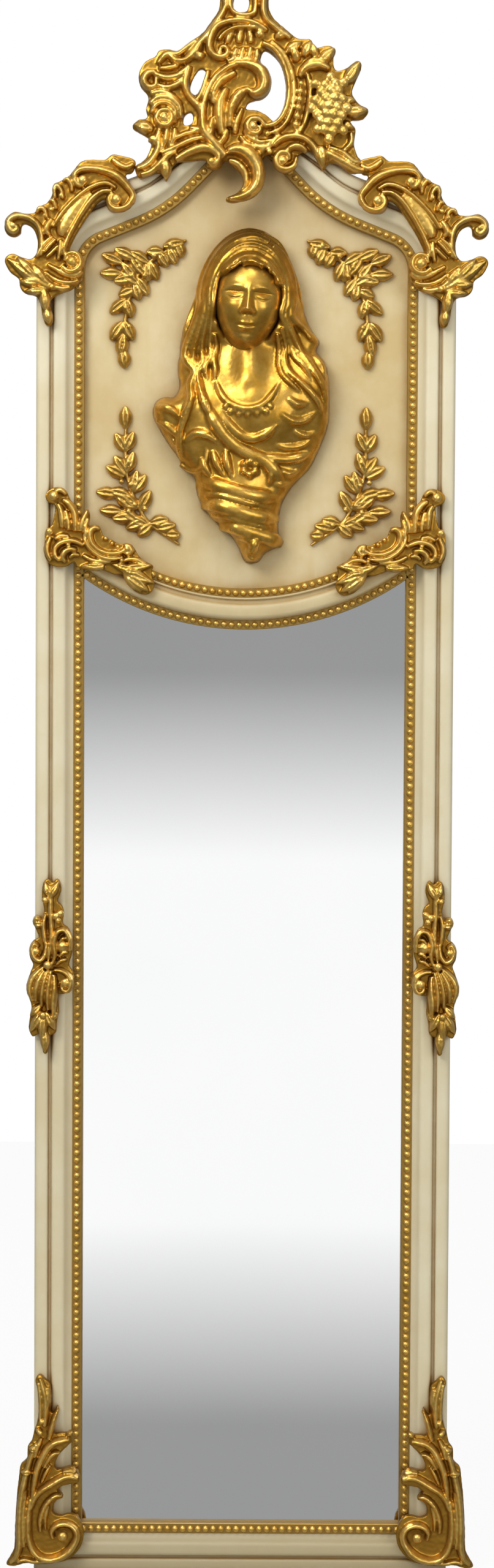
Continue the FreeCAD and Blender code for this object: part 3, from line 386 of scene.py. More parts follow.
def beaded(spots, edge):
    """A fillet with pearls along it, and a lip turned down over the edge: spots are places on its middle line with
    the outward way, and the edge is as far along that way as given."""
    side = math.copysign(1.0, edge)
    lip, heel = edge + side * LIP, -side * STRIP_HALF
    section = [(lip, STRIP_FOOT), (lip, STRIP_SIDE), (lip - side * STRIP_EASE, STRIP_TOP),
               (heel + side * STRIP_EASE, STRIP_TOP), (heel, STRIP_SIDE), (heel, BEAD_SEAT), (edge, BEAD_SEAT),
               (edge, STRIP_FOOT)]
    bm = swept([[p + out * t - Vector((0, d, 0)) for t, d in section] for p, out in spots])
    line = [p for p, out in spots]
    gone, due = 0.0, BEAD_PITCH / 2
    for a, b in zip(line, line[1:]):
        run = (b - a).length
        while due <= gone + run:
            centre = a.lerp(b, (due - gone) / run) - Vector((0, BEAD_CENTRE, 0))
            pearl = Matrix.Translation(centre * MM) @ Matrix.Rotation(math.pi / 2, 4, "X")
            bmesh.ops.create_uvsphere(bm, u_segments=10, v_segments=6, radius=BEAD_RADIUS * MM, matrix=pearl)
            due += BEAD_PITCH
        gone += run
    return bm


def arch_row(radius):
    spots = [arch_spot(radius, 0, s, SIGHT_HALF) for s in arch_shares]
    middle = Vector((0, 0, ARCH_CENTRE))
    return [(Vector(p), (Vector(p) - middle).normalized()) for p in spots]


row = SEAT / 2
side_row = [(Vector((SIGHT_HALF + row, 0, z)), Vector((1, 0, 0))) for z in (FACE - row, STILE_TOP)]
bottom_end = SIGHT_HALF + row - CORNER_GAP
bottom_row = [(Vector((x, 0, FACE - row)), Vector((0, 0, -1))) for x in (-bottom_end, bottom_end)]
right_beads = beaded(side_row, -row)
bead_rows = {
    "bead_side_left": mirrored(right_beads),
    "bead_side_right": right_beads,
    "bead_bottom": beaded(bottom_row, -row),
    "bead_head": beaded([(p + outward(h) * row, outward(h)) for p, h, w in head_path()], -row),
    "bead_arch_upper": beaded(arch_row(ARCH_INNER + ARCH_ROW), -ARCH_ROW),
    "bead_arch_lower": beaded(arch_row(ARCH_GLASS - ARCH_ROW), ARCH_ROW),
}
for node, bm in bead_rows.items():
    pearls = shown(node + "_pearls", bm, bead_gilt)
    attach(pearls, "frame")
    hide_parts(node)


# Relief panel: a thin board behind the bust, painted like the frame and rubbed with brown round the carvings.
# Mirror: float glass silvered on its back, on a hardboard sheet, held in the rebate.
PANEL_LIGHT = (0.62, 0.53, 0.32, 1)
PANEL_DEEP = (0.52, 0.395, 0.18, 1)
PANEL_GLAZE = (0.38, 0.235, 0.068, 1)
panel_paint = cream_finish("panel_paint", PANEL_LIGHT, PANEL_DEEP, PANEL_GLAZE, 0.045, 0.38, 0.97, (1.48, 1.60))
silvered, tree, shader, place = new_finish("silvered_glass")
shader.inputs["Metallic"].default_value = 1.0
haze = grain(tree, place, 4.0, 2.0)
silver = ramp(tree, haze, [(0.3, (0.93, 0.94, 0.94, 1)), (0.7, (0.96, 0.96, 0.96, 1))])
tree.links.new(silver, shader.inputs["Base Color"])
tree.links.new(ramp(tree, haze, [(0.3, 0.015), (0.7, 0.03)]), shader.inputs["Roughness"])


def fibre_finish(name, light, deep, stretch, rough):
    material, tree, shader, place = new_finish(name)
    fibre = grain(tree, stretched(tree, place, stretch), 1.0, 6.0)
    board = mixed(tree, ramp(tree, fibre, [(0.35, 0.0), (0.68, 1.0)]), light, deep)
    tree.links.new(board, shader.inputs["Base Color"])
    shader.inputs["Roughness"].default_value = rough
    bumped(tree, shader, fibre, 0.2, 0.0005)
    return material


PINE_LIGHT = (0.62, 0.42, 0.23, 1)
PINE_DEEP = (0.43, 0.26, 0.12, 1)
hardboard = fibre_finish("hardboard", (0.30, 0.17, 0.08, 1), (0.20, 0.105, 0.05, 1), (300, 300, 300), 0.75)
upright_pine = fibre_finish("upright_pine", PINE_LIGHT, PINE_DEEP, (220, 220, 9), 0.62)
level_pine = fibre_finish("level_pine", PINE_LIGHT, PINE_DEEP, (9, 220, 220), 0.62)
dressed = {
    "relief_panel": panel_paint, "mirror_glass": silvered, "glass_backing": hardboard,
    "glass_batten_left": upright_pine, "glass_batten_right": upright_pine,
    "panel_batten_left": upright_pine, "panel_batten_right": upright_pine,
    "bottom_batten": level_pine, "arch_batten": level_pine,
    "head_dowels": upright_pine, "mitre_splines": level_pine,
}
for node, material in dressed.items():
    for material_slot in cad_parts[node].material_slots:
        material_slot.material = material


# Crest: a pierced rocaille carving of plume, shell, rose, fruit and ribbons, cast in composition on a thin
# board from a carved mould, screwed to the head's crown and water gilded, with bole rubbed into its hollows.
CROWN = 36.0
BOARD = 9.0
SOFT = 180.0
CREST_VOXEL = 1.35
CREST_PLACE = (-131.0, 1560.0, 267.0, 259.0)
CREST_OUTLINE = [
    (0.02, 0.16), (0.06, 0.19), (0.085, 0.24), (0.08, 0.28), (0.01, 0.325), (0.03, 0.36), (0.07, 0.37), (0.065, 0.41),
    (0.075, 0.46), (0.04, 0.51), (0.035, 0.56), (0.06, 0.61), (0.105, 0.635), (0.12, 0.66), (0.16, 0.665),
    (0.20, 0.66),
    (0.25, 0.70), (0.30, 0.735), (0.34, 0.79), (0.37, 0.84), (0.378, 0.92), (0.405, 0.98), (0.475, 1.0), (0.55, 0.98),
    (0.578, 0.92), (0.578, 0.85), (0.60, 0.80), (0.65, 0.755), (0.70, 0.715), (0.755, 0.71), (0.775, 0.675),
    (0.83, 0.685), (0.86, 0.665), (0.85, 0.625), (0.86, 0.58), (0.90, 0.585), (0.95, 0.62), (0.97, 0.595),
    (0.94, 0.52),
    (0.93, 0.48), (0.96, 0.435), (1.0, 0.41), (0.975, 0.37), (0.91, 0.36), (0.945, 0.33), (0.94, 0.26), (0.955, 0.21),
    (0.97, 0.19), (0.955, 0.14), (0.92, 0.14), (0.87, 0.175), (0.83, 0.175), (0.81, 0.145), (0.79, 0.19),
    (0.75, 0.235),
    (0.69, 0.20), (0.67, 0.16), (0.62, 0.165), (0.60, 0.215), (0.56, 0.20), (0.555, 0.12), (0.52, 0.05),
    (0.46, 0.012),
    (0.41, 0.01), (0.405, 0.03), (0.45, 0.05), (0.475, 0.09), (0.465, 0.13), (0.43, 0.165), (0.40, 0.19),
    (0.375, 0.155), (0.33, 0.155), (0.315, 0.19), (0.25, 0.185), (0.19, 0.175), (0.165, 0.13), (0.15, 0.095),
    (0.135, 0.13), (0.10, 0.13), (0.04, 0.11)]
CREST_HOLES = [
    [(0.435, 0.83), (0.43, 0.87), (0.445, 0.905), (0.47, 0.905), (0.495, 0.88), (0.49, 0.835), (0.46, 0.825)],
    [(0.545, 0.615), (0.56, 0.66), (0.60, 0.64), (0.64, 0.585), (0.66, 0.51), (0.655, 0.44), (0.63, 0.38),
     (0.605, 0.357), (0.57, 0.385), (0.53, 0.405), (0.485, 0.41), (0.50, 0.44), (0.555, 0.455), (0.585, 0.49),
     (0.59, 0.54), (0.57, 0.585)],
    [(0.25, 0.50), (0.265, 0.545), (0.29, 0.58), (0.315, 0.57), (0.305, 0.52), (0.28, 0.475), (0.26, 0.475)],
    [(0.222, 0.345), (0.225, 0.375), (0.24, 0.392), (0.26, 0.39), (0.262, 0.355), (0.24, 0.338)]]
# Rolls: a line in shares of the carving, half widths in millimetres along it, and the height above the board.
CREST_ROLLS = [
    ([(0.40, 0.205), (0.35, 0.262), (0.312, 0.31), (0.302, 0.38), (0.316, 0.46), (0.352, 0.535), (0.405, 0.582),
      (0.46, 0.604)], [4, 6, 6, 4.2, 3.6, 3.6, 3.8, 3], 15),
    ([(0.44, 0.603), (0.50, 0.597), (0.545, 0.572), (0.562, 0.525), (0.548, 0.484), (0.515, 0.474), (0.50, 0.49)],
     [3, 5, 7.5, 8, 7, 5, 2.5], 19),
    ([(0.345, 0.43), (0.352, 0.48), (0.385, 0.53), (0.44, 0.562)], [2.5, 4, 4.6, 3], 13),
    ([(0.385, 0.30), (0.376, 0.38), (0.382, 0.45), (0.405, 0.497)], [4.5, 7.4, 7, 3], 14),
    ([(0.416, 0.33), (0.424, 0.41), (0.455, 0.468), (0.497, 0.495)], [3.5, 5.4, 5.4, 2.5], 16),
    ([(0.438, 0.30), (0.446, 0.35), (0.47, 0.41)], [3, 4, 2], 12),
    ([(0.335, 0.285), (0.338, 0.33), (0.345, 0.37)], [3.5, 5, 2], 15),
    ([(0.375, 0.255), (0.395, 0.285), (0.41, 0.32)], [3, 4, 2], 13),
    ([(0.245, 0.59), (0.229, 0.51), (0.252, 0.455), (0.285, 0.42), (0.302, 0.385)], [4, 4.2, 4, 4.4, 4], 12),
    ([(0.327, 0.572), (0.313, 0.52), (0.295, 0.468), (0.277, 0.442)], [2.5, 2.8, 2.8, 2.5], 10),
    ([(0.572, 0.742), (0.535, 0.768), (0.475, 0.785), (0.415, 0.782), (0.365, 0.762), (0.338, 0.72), (0.330, 0.672),
      (0.350, 0.636), (0.384, 0.627), (0.408, 0.648), (0.396, 0.672), (0.372, 0.668)],
     [2.5, 3.2, 3.6, 3.8, 4, 4.2, 4.2, 4, 3.8, 3.4, 3, 2.2], 14),
    ([(0.545, 0.748), (0.50, 0.757), (0.44, 0.755), (0.395, 0.733), (0.368, 0.702)], [2, 2.4, 2.6, 2.6, 2], 11),
    ([(0.405, 0.69), (0.412, 0.715), (0.428, 0.74)], [3, 4, 3], 7),
    ([(0.455, 0.69), (0.457, 0.72), (0.465, 0.747)], [3.5, 4.4, 3], 7),
    ([(0.505, 0.69), (0.502, 0.72), (0.497, 0.745)], [3.5, 4.2, 3], 7),
    ([(0.43, 0.622), (0.437, 0.645), (0.447, 0.668)], [3, 4, 2.5], 10),
    ([(0.462, 0.62), (0.468, 0.645), (0.474, 0.672)], [3.4, 4, 2.5], 10),
    ([(0.495, 0.62), (0.50, 0.645), (0.503, 0.672)], [3.4, 4, 2.5], 10),
    ([(0.528, 0.625), (0.531, 0.645), (0.53, 0.665)], [3, 3.6, 2.5], 9),
    ([(0.405, 0.612), (0.46, 0.622), (0.52, 0.615), (0.545, 0.598)], [2, 2.4, 2.4, 2], 9),
    ([(0.40, 0.84), (0.398, 0.90), (0.415, 0.955), (0.475, 0.978), (0.535, 0.955), (0.556, 0.90), (0.556, 0.83),
      (0.575, 0.785), (0.625, 0.742), (0.67, 0.712)], [3, 3.6, 4, 4.4, 4, 3.6, 3.6, 3.6, 3.4, 2.5], 12),
    ([(0.52, 0.82), (0.522, 0.87), (0.51, 0.915), (0.475, 0.933), (0.435, 0.92), (0.418, 0.88), (0.422, 0.835),
      (0.45, 0.812), (0.495, 0.81), (0.52, 0.82)], [2.8] * 10, 10),
    ([(0.40, 0.85), (0.378, 0.805), (0.342, 0.755), (0.312, 0.712), (0.27, 0.668), (0.235, 0.625)],
     [2.8, 3.4, 3.6, 3.6, 3.4, 3], 11),
    ([(0.553, 0.688), (0.602, 0.662), (0.642, 0.602), (0.664, 0.52), (0.661, 0.44), (0.638, 0.377), (0.603, 0.342),
      (0.563, 0.333)], [3, 3.4, 3.6, 3.6, 3.6, 3.4, 3.2, 2.5], 14),
    ([(0.588, 0.70), (0.648, 0.636), (0.684, 0.54), (0.684, 0.44), (0.66, 0.362), (0.622, 0.318), (0.57, 0.30)],
     [2.2, 2.6, 2.8, 2.8, 2.8, 2.6, 2], 11),
    ([(0.566, 0.335), (0.54, 0.362), (0.508, 0.362), (0.49, 0.338), (0.498, 0.31), (0.525, 0.30), (0.546, 0.315),
      (0.54, 0.335)], [2.6, 3.4, 3.6, 3.6, 3.4, 3, 2.6, 2], 14),
    ([(0.478, 0.315), (0.50, 0.282), (0.545, 0.265), (0.59, 0.275)], [2.2, 2.8, 2.8, 2], 10),
    ([(0.46, 0.29), (0.492, 0.258), (0.545, 0.243), (0.595, 0.25)], [2.2, 2.6, 2.6, 2], 9),
    ([(0.565, 0.235), (0.60, 0.275), (0.63, 0.30)], [2, 3, 2], 9),
    ([(0.742, 0.56), (0.754, 0.49), (0.748, 0.43), (0.735, 0.36), (0.712, 0.31)], [2.4, 3, 3, 3, 2.4], 11),
    ([(0.71, 0.545), (0.735, 0.585), (0.79, 0.598), (0.835, 0.58)], [3, 5.4, 5.6, 3], 13),
    ([(0.715, 0.575), (0.755, 0.615), (0.80, 0.615)], [2.4, 3.4, 2.4], 11),
    ([(0.60, 0.25), (0.632, 0.278), (0.68, 0.291), (0.732, 0.28), (0.77, 0.246), (0.788, 0.20)],
     [3, 3.8, 4, 4, 3.8, 3], 13),
    ([(0.655, 0.228), (0.685, 0.247), (0.718, 0.243), (0.742, 0.225)], [2.6, 4, 4, 2.4], 14),
    ([(0.70, 0.205), (0.688, 0.165), (0.655, 0.148), (0.622, 0.16), (0.612, 0.195), (0.635, 0.222), (0.665, 0.213),
      (0.668, 0.188)], [2, 3, 3.6, 3.8, 3.8, 3.6, 3.2, 2.2], 13),
    ([(0.80, 0.235), (0.85, 0.207), (0.90, 0.18), (0.95, 0.152), (0.985, 0.147)], [3, 4.6, 4.6, 4, 2.5], 12),
    ([(0.83, 0.245), (0.89, 0.222), (0.935, 0.185), (0.968, 0.178)], [2.4, 3.4, 3.4, 2], 11),
    ([(0.90, 0.235), (0.928, 0.265), (0.926, 0.31)], [2.4, 3.2, 2], 9),
    ([(0.19, 0.187), (0.24, 0.218), (0.30, 0.240), (0.350, 0.228), (0.372, 0.196), (0.358, 0.168), (0.333, 0.165)],
     [3, 4.8, 5.4, 4.6, 3.8, 3.2, 2.4], 14),
    ([(0.13, 0.215), (0.20, 0.246), (0.265, 0.275), (0.315, 0.283)], [2.6, 3.6, 3.6, 2.4], 11),
    ([(0.17, 0.265), (0.225, 0.297), (0.29, 0.312)], [2.2, 3, 2.2], 9),
    ([(0.028, 0.148), (0.065, 0.162), (0.095, 0.19), (0.117, 0.235), (0.122, 0.28)], [2.4, 3.6, 4, 3.6, 2.4], 11),
    ([(0.045, 0.122), (0.085, 0.135), (0.12, 0.165), (0.152, 0.20), (0.195, 0.225)], [2.4, 3.6, 4, 3.6, 2.4], 12),
    ([(0.165, 0.635), (0.19, 0.612), (0.232, 0.615), (0.272, 0.652), (0.302, 0.702)], [3, 4, 4, 4, 2.6], 12),
    ([(0.115, 0.60), (0.15, 0.638), (0.195, 0.64), (0.24, 0.672), (0.275, 0.70)], [2.6, 3.8, 3.4, 3.4, 2.4], 10),
    ([(0.105, 0.565), (0.071, 0.556), (0.056, 0.525), (0.078, 0.497), (0.107, 0.508), (0.107, 0.54)],
     [3, 4, 4.2, 4, 3.2, 2.4], 12),
    ([(0.10, 0.556), (0.15, 0.538), (0.20, 0.548), (0.24, 0.585)], [3, 4.2, 4.2, 3], 12),
    ([(0.118, 0.505), (0.16, 0.498), (0.202, 0.515), (0.225, 0.545)], [2.6, 3.6, 3.6, 2.4], 10),
    ([(0.12, 0.58), (0.16, 0.582), (0.20, 0.59)], [2.4, 3.4, 2.4], 9),
    ([(0.085, 0.47), (0.13, 0.478), (0.175, 0.46), (0.212, 0.425)], [2.6, 3.8, 3.8, 2.6], 11),
    ([(0.082, 0.425), (0.115, 0.452), (0.165, 0.45), (0.205, 0.415), (0.212, 0.365)], [2.6, 3.6, 3.8, 3.6, 2.4], 13),
    ([(0.09, 0.385), (0.11, 0.422), (0.155, 0.428), (0.188, 0.395), (0.186, 0.345)], [2.6, 3.6, 3.8, 3.6, 2.4], 15),
    ([(0.108, 0.36), (0.125, 0.393), (0.16, 0.395), (0.176, 0.365), (0.160, 0.335), (0.128, 0.335), (0.108, 0.36)],
     [3.2] * 7, 17),
    ([(0.41, 0.226), (0.455, 0.234), (0.502, 0.21), (0.532, 0.16), (0.536, 0.10), (0.512, 0.055), (0.467, 0.029),
      (0.418, 0.021)], [4, 7.2, 9, 8.6, 7.6, 6.6, 4.6, 2], 19),
    ([(0.415, 0.187), (0.455, 0.170), (0.484, 0.13), (0.486, 0.085), (0.468, 0.055)], [2.6, 4, 4.4, 3.6, 2], 13),
    ([(0.125, 0.325), (0.115, 0.285), (0.10, 0.25)], [3, 4, 2], 10),
    ([(0.155, 0.32), (0.15, 0.28), (0.135, 0.235)], [3, 4.2, 2], 11),
    ([(0.185, 0.325), (0.185, 0.285), (0.165, 0.245)], [3, 4.2, 2], 10),
    ([(0.25, 0.325), (0.285, 0.318), (0.312, 0.30)], [2.4, 3.4, 2.4], 9)]
# Leaves: root and tip in shares, half width in millimetres, height above the board.
CREST_LEAVES = [
    (0.79, 0.605, 0.857, 0.672, 6.4, 12), (0.90, 0.52, 0.962, 0.612, 6.6, 12), (0.905, 0.395, 0.992, 0.405, 7, 12),
    (0.885, 0.45, 0.945, 0.445, 5, 11), (0.725, 0.635, 0.755, 0.700, 6, 11), (0.775, 0.63, 0.765, 0.69, 4.6, 10),
    (0.605, 0.715, 0.660, 0.735, 5, 10), (0.655, 0.655, 0.715, 0.695, 6, 11), (0.69, 0.61, 0.70, 0.66, 5, 12),
    (0.80, 0.25, 0.808, 0.155, 6.4, 15), (0.85, 0.235, 0.835, 0.185, 4.4, 10), (0.15, 0.185, 0.150, 0.102, 6.4, 14),
    (0.095, 0.318, 0.018, 0.338, 7, 12), (0.105, 0.29, 0.075, 0.265, 4, 9), (0.895, 0.35, 0.938, 0.325, 4.6, 9),
    (0.30, 0.665, 0.262, 0.695, 4, 9), (0.31, 0.64, 0.262, 0.625, 4.6, 11), (0.565, 0.26, 0.545, 0.21, 4, 9)]
# Balls: place in shares, radius in millimetres, height of the centre above the board.
CREST_BALLS = [
    (0.542, 0.728, 4.6, 7), (0.375, 0.652, 2.6, 8), (0.517, 0.333, 4.6, 8), (0.643, 0.186, 4.8, 7),
    (0.342, 0.181, 4.6, 8),
    (0.143, 0.365, 5.2, 11), (0.69, 0.645, 4.6, 8), (0.715, 0.515, 3.3, 9), (0.712, 0.482, 3.6, 9),
    (0.708, 0.447, 3.8, 9),
    (0.704, 0.411, 4.2, 10), (0.699, 0.374, 4, 9), (0.694, 0.338, 4.2, 9), (0.70, 0.305, 3.4, 8),
    (0.585, 0.225, 3.4, 7),
    (0.61, 0.31, 3.2, 8), (0.575, 0.30, 3.2, 8), (0.53, 0.285, 2.8, 8)]
FRUIT_MIDDLE = (0.835, 0.415)
FRUIT_REACH = (0.078, 0.145)
FRUIT_PITCH = 0.037
FRUIT_RADIUS = 5.6
FRUIT_HEIGHT = 13.0
FRUIT_FALL = 5.0
FRUIT_STRAY = 0.005
CREST_EASE = 2
CREST_TOOTH = 0.35
TOOTH_SCALE = 260
ROLL_SECTION = [(math.cos(math.pi * i / 8), math.sin(math.pi * i / 8)) for i in range(9)]
LEAF_SECTION = [(1, 0), (0.92, 0.42), (0.66, 0.74), (0.38, 0.96), (0.13, 0.86), (0, 0.62), (-0.13, 0.86),
                (-0.38, 0.96),
                (-0.66, 0.74), (-0.92, 0.42), (-1, 0)]
ROLL_STEP = 2.0
SINK = 4.0
SPECK = 60


def smooth_line(points, count, closed=False):
    """Points of any size on a smooth curve through the given ones, count to each stretch."""
    whole = [points[-1]] + points + points[:2] if closed else [points[0]] + points + [points[-1]]
    line = []
    for a, b, c, d in zip(whole, whole[1:], whole[2:], whole[3:]):
        for i in range(count):
            s = i / count
            line.append(tuple(0.5 * (2 * q + (r - p) * s + (2 * p - 5 * q + 4 * r - w) * s * s
                                     + (3 * q - p - 3 * r + w) * s * s * s) for p, q, r, w in zip(a, b, c, d)))
    return line if closed else line + [tuple(points[-1])]


def joined(bm, other):
    """Both meshes as one."""
    part = bpy.data.meshes.new("part")
    other.to_mesh(part)
    other.free()
    bm.from_mesh(part)
    bpy.data.meshes.remove(part)
    return bm


def roll(bm, spot, line, halves, rise, section, board, sink=SINK):
    """A raised roll, or a leaf blade by its section, along a smooth line, with tapered ends. Its foot lies in the
    board, or follows a list of depths."""
    feet = board if isinstance(board, list) else [board] * len(line)
    knots = [tuple(spot(u, v)) + (half, foot) for (u, v), half, foot in zip(line, halves, feet)]
    length = sum(math.dist(a[:2], b[:2]) for a, b in zip(knots, knots[1:]))
    curve = smooth_line(knots, max(3, round(length / len(knots) / ROLL_STEP)))
    stations = []
    for i, (x, z, half, foot) in enumerate(curve):
        ahead, behind = curve[min(i + 1, len(curve) - 1)], curve[max(i - 1, 0)]
        way = Vector((ahead[0] - behind[0], 0, ahead[1] - behind[1])).normalized()
        side = Vector((way.z, 0, -way.x))
        lift = rise * min(1.0, 0.45 + 0.55 * half / max(halves))
        ring = [Vector((x, -foot - h * lift, z)) + side * a * half for a, h in section]
        ring += [Vector((x, sink - foot, z)) - side * half, Vector((x, sink - foot, z)) + side * half]
        stations.append(ring)
    joined(bm, swept(stations))


def within(place):
    """A way from shares of a carving's width and height to places in millimetres."""
    left, foot, width, height = place
    return lambda u, v: Vector((left + u * width, foot + v * height))


def carved(place, outline, holes, rolls, leaves, balls, thick, back):
    """The board with its rolls, leaves and balls, as closed shells that run into each other."""
    spot = within(place)
    bm = bmesh.new()
    edges = []
    for loop in [outline] + holes:
        verts = [bm.verts.new(Vector((x, -back, z)) * MM) for x, z in
                 (spot(u, v) for u, v in smooth_line(loop, 5, True))]
        edges += [bm.edges.new((a, b)) for a, b in zip(verts, verts[1:] + verts[:1])]
    bmesh.ops.triangle_fill(bm, use_beauty=True, use_dissolve=False, edges=edges)
    grown = bmesh.ops.extrude_face_region(bm, geom=bm.faces[:])["geom"]
    bmesh.ops.translate(bm, vec=(0, -thick * MM, 0), verts=[g for g in grown if isinstance(g, bmesh.types.BMVert)])
    bmesh.ops.recalc_face_normals(bm, faces=bm.faces)
    board = back + thick
    for line, halves, rise in rolls:
        roll(bm, spot, line, halves, rise, ROLL_SECTION, board)
    for u0, v0, u1, v1, half, rise in leaves:
        line = [(u0 + (u1 - u0) * s, v0 + (v1 - v0) * s) for s in (0, 0.3, 0.62, 1)]
        roll(bm, spot, line, [0.45 * half, half, 0.9 * half, 0.12 * half], rise, LEAF_SECTION, board)
    for u, v, radius, lift in balls:
        x, z = spot(u, v)
        ball = Matrix.Translation(Vector((x, -board - lift, z)) * MM)
        bmesh.ops.create_icosphere(bm, subdivisions=3, radius=radius * MM, matrix=ball)
    return bm


def drop_specks(bm):
    """Take off the specks that the casting leaves where shells only just meet."""
    left = set(bm.verts)
    while left:
        speck = [left.pop()]
        for vert in speck:
            near = [edge.other_vert(vert) for edge in vert.link_edges]
            fresh = [other for other in near if other in left]
            left.difference_update(fresh)
            speck.extend(fresh)
        if len(speck) < SPECK:
            bmesh.ops.delete(bm, geom=speck, context="VERTS")


def cast(bm, voxel, rounds, tooth):
    """The shells run together to one skin, eased, and left with the slight unevenness of a casting."""
    rough = bpy.data.meshes.new("rough")
    bm.to_mesh(rough)
    bm.free()
    blank = bpy.data.objects.new("rough", rough)
    bpy.context.scene.collection.objects.link(blank)
    skin = blank.modifiers.new("skin", "REMESH")
    skin.mode, skin.voxel_size = "VOXEL", voxel * MM
    bm = settled(blank)
    bpy.data.meshes.remove(rough)
    drop_specks(bm)
    for _ in range(rounds):
        bmesh.ops.smooth_vert(bm, verts=bm.verts, factor=0.5, use_axis_x=True, use_axis_y=True, use_axis_z=True)
    bm.normal_update()
    for vert in bm.verts:
        vert.co += vert.normal * tooth * MM * noise.noise(vert.co * TOOTH_SCALE)
    return bm


def fruit():
    """Balls heaped in staggered rows, a little out of line."""
    balls = []
    for row_number in range(-4, 5):
        for column in range(-3, 4):
            u = (column + 0.5 * (row_number % 2)) * FRUIT_PITCH
            v = row_number * FRUIT_PITCH * 0.9
            share = (u / FRUIT_REACH[0]) ** 2 + (v / FRUIT_REACH[1]) ** 2
            if share <= 1:
                u, v = (w + FRUIT_STRAY * math.sin(7 * row_number + 11 * column + k) for k, w in enumerate((u, v)))
                balls.append((FRUIT_MIDDLE[0] + u, FRUIT_MIDDLE[1] + v, FRUIT_RADIUS,
                              FRUIT_HEIGHT - FRUIT_FALL * share))
    return balls


# The floor depths brown the carvings' low ground: partly painted shade, partly unburnished ground.
ornament_gilt = gilt_finish("ornament_gilt", GOLD_BRIGHT, GOLD_DEEP, GOLD_SHADE, 0.009, 0.12, 0.62, 0.28,
                            (-0.0525, -0.0445))
crest_shells = carved(CREST_PLACE, CREST_OUTLINE, CREST_HOLES, CREST_ROLLS, CREST_LEAVES, CREST_BALLS + fruit(),
                      BOARD, CROWN)
crest = shown("crest_carving", cast(crest_shells, CREST_VOXEL, CREST_EASE, CREST_TOOTH), ornament_gilt, SOFT)
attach(crest, "frame")
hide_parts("crest")


# Shoulder scrolls: a pair of carvings over the turns of the head, each a channelled sweep between two rims with
# curled ends, a hook that stands free and a leaf that hangs on the stile. Cast, glued, pinned and gilded.
SHOULDER_PLACE = (110.0, 1421.0, 164.0, 195.0)
SHOULDER_OUTLINE = [
    (0.10, 0.965), (0.17, 0.985), (0.25, 0.995), (0.30, 0.965), (0.38, 0.965), (0.46, 0.955), (0.51, 0.91),
    (0.55, 0.87), (0.61, 0.84), (0.655, 0.82), (0.665, 0.76), (0.70, 0.715), (0.75, 0.695), (0.785, 0.66),
    (0.85, 0.655), (0.92, 0.665), (0.975, 0.63), (0.99, 0.585), (0.975, 0.54), (0.925, 0.52), (0.88, 0.54),
    (0.872, 0.58), (0.85, 0.595), (0.80, 0.575), (0.77, 0.53), (0.76, 0.47), (0.775, 0.42), (0.81, 0.395),
    (0.87, 0.405), (0.93, 0.425), (0.975, 0.41), (0.985, 0.375), (0.95, 0.32), (0.89, 0.28), (0.88, 0.23),
    (0.84, 0.195), (0.77, 0.18), (0.74, 0.13), (0.725, 0.06), (0.70, 0.015), (0.665, 0.02), (0.655, 0.07),
    (0.675, 0.13), (0.66, 0.17), (0.60, 0.20), (0.53, 0.22), (0.47, 0.27), (0.445, 0.33), (0.455, 0.40),
    (0.50, 0.435), (0.545, 0.44), (0.52, 0.50), (0.48, 0.56), (0.42, 0.64), (0.36, 0.71), (0.30, 0.74),
    (0.285, 0.69), (0.24, 0.665), (0.17, 0.69), (0.11, 0.735), (0.09, 0.78), (0.13, 0.83), (0.16, 0.88),
    (0.12, 0.89), (0.095, 0.925)]
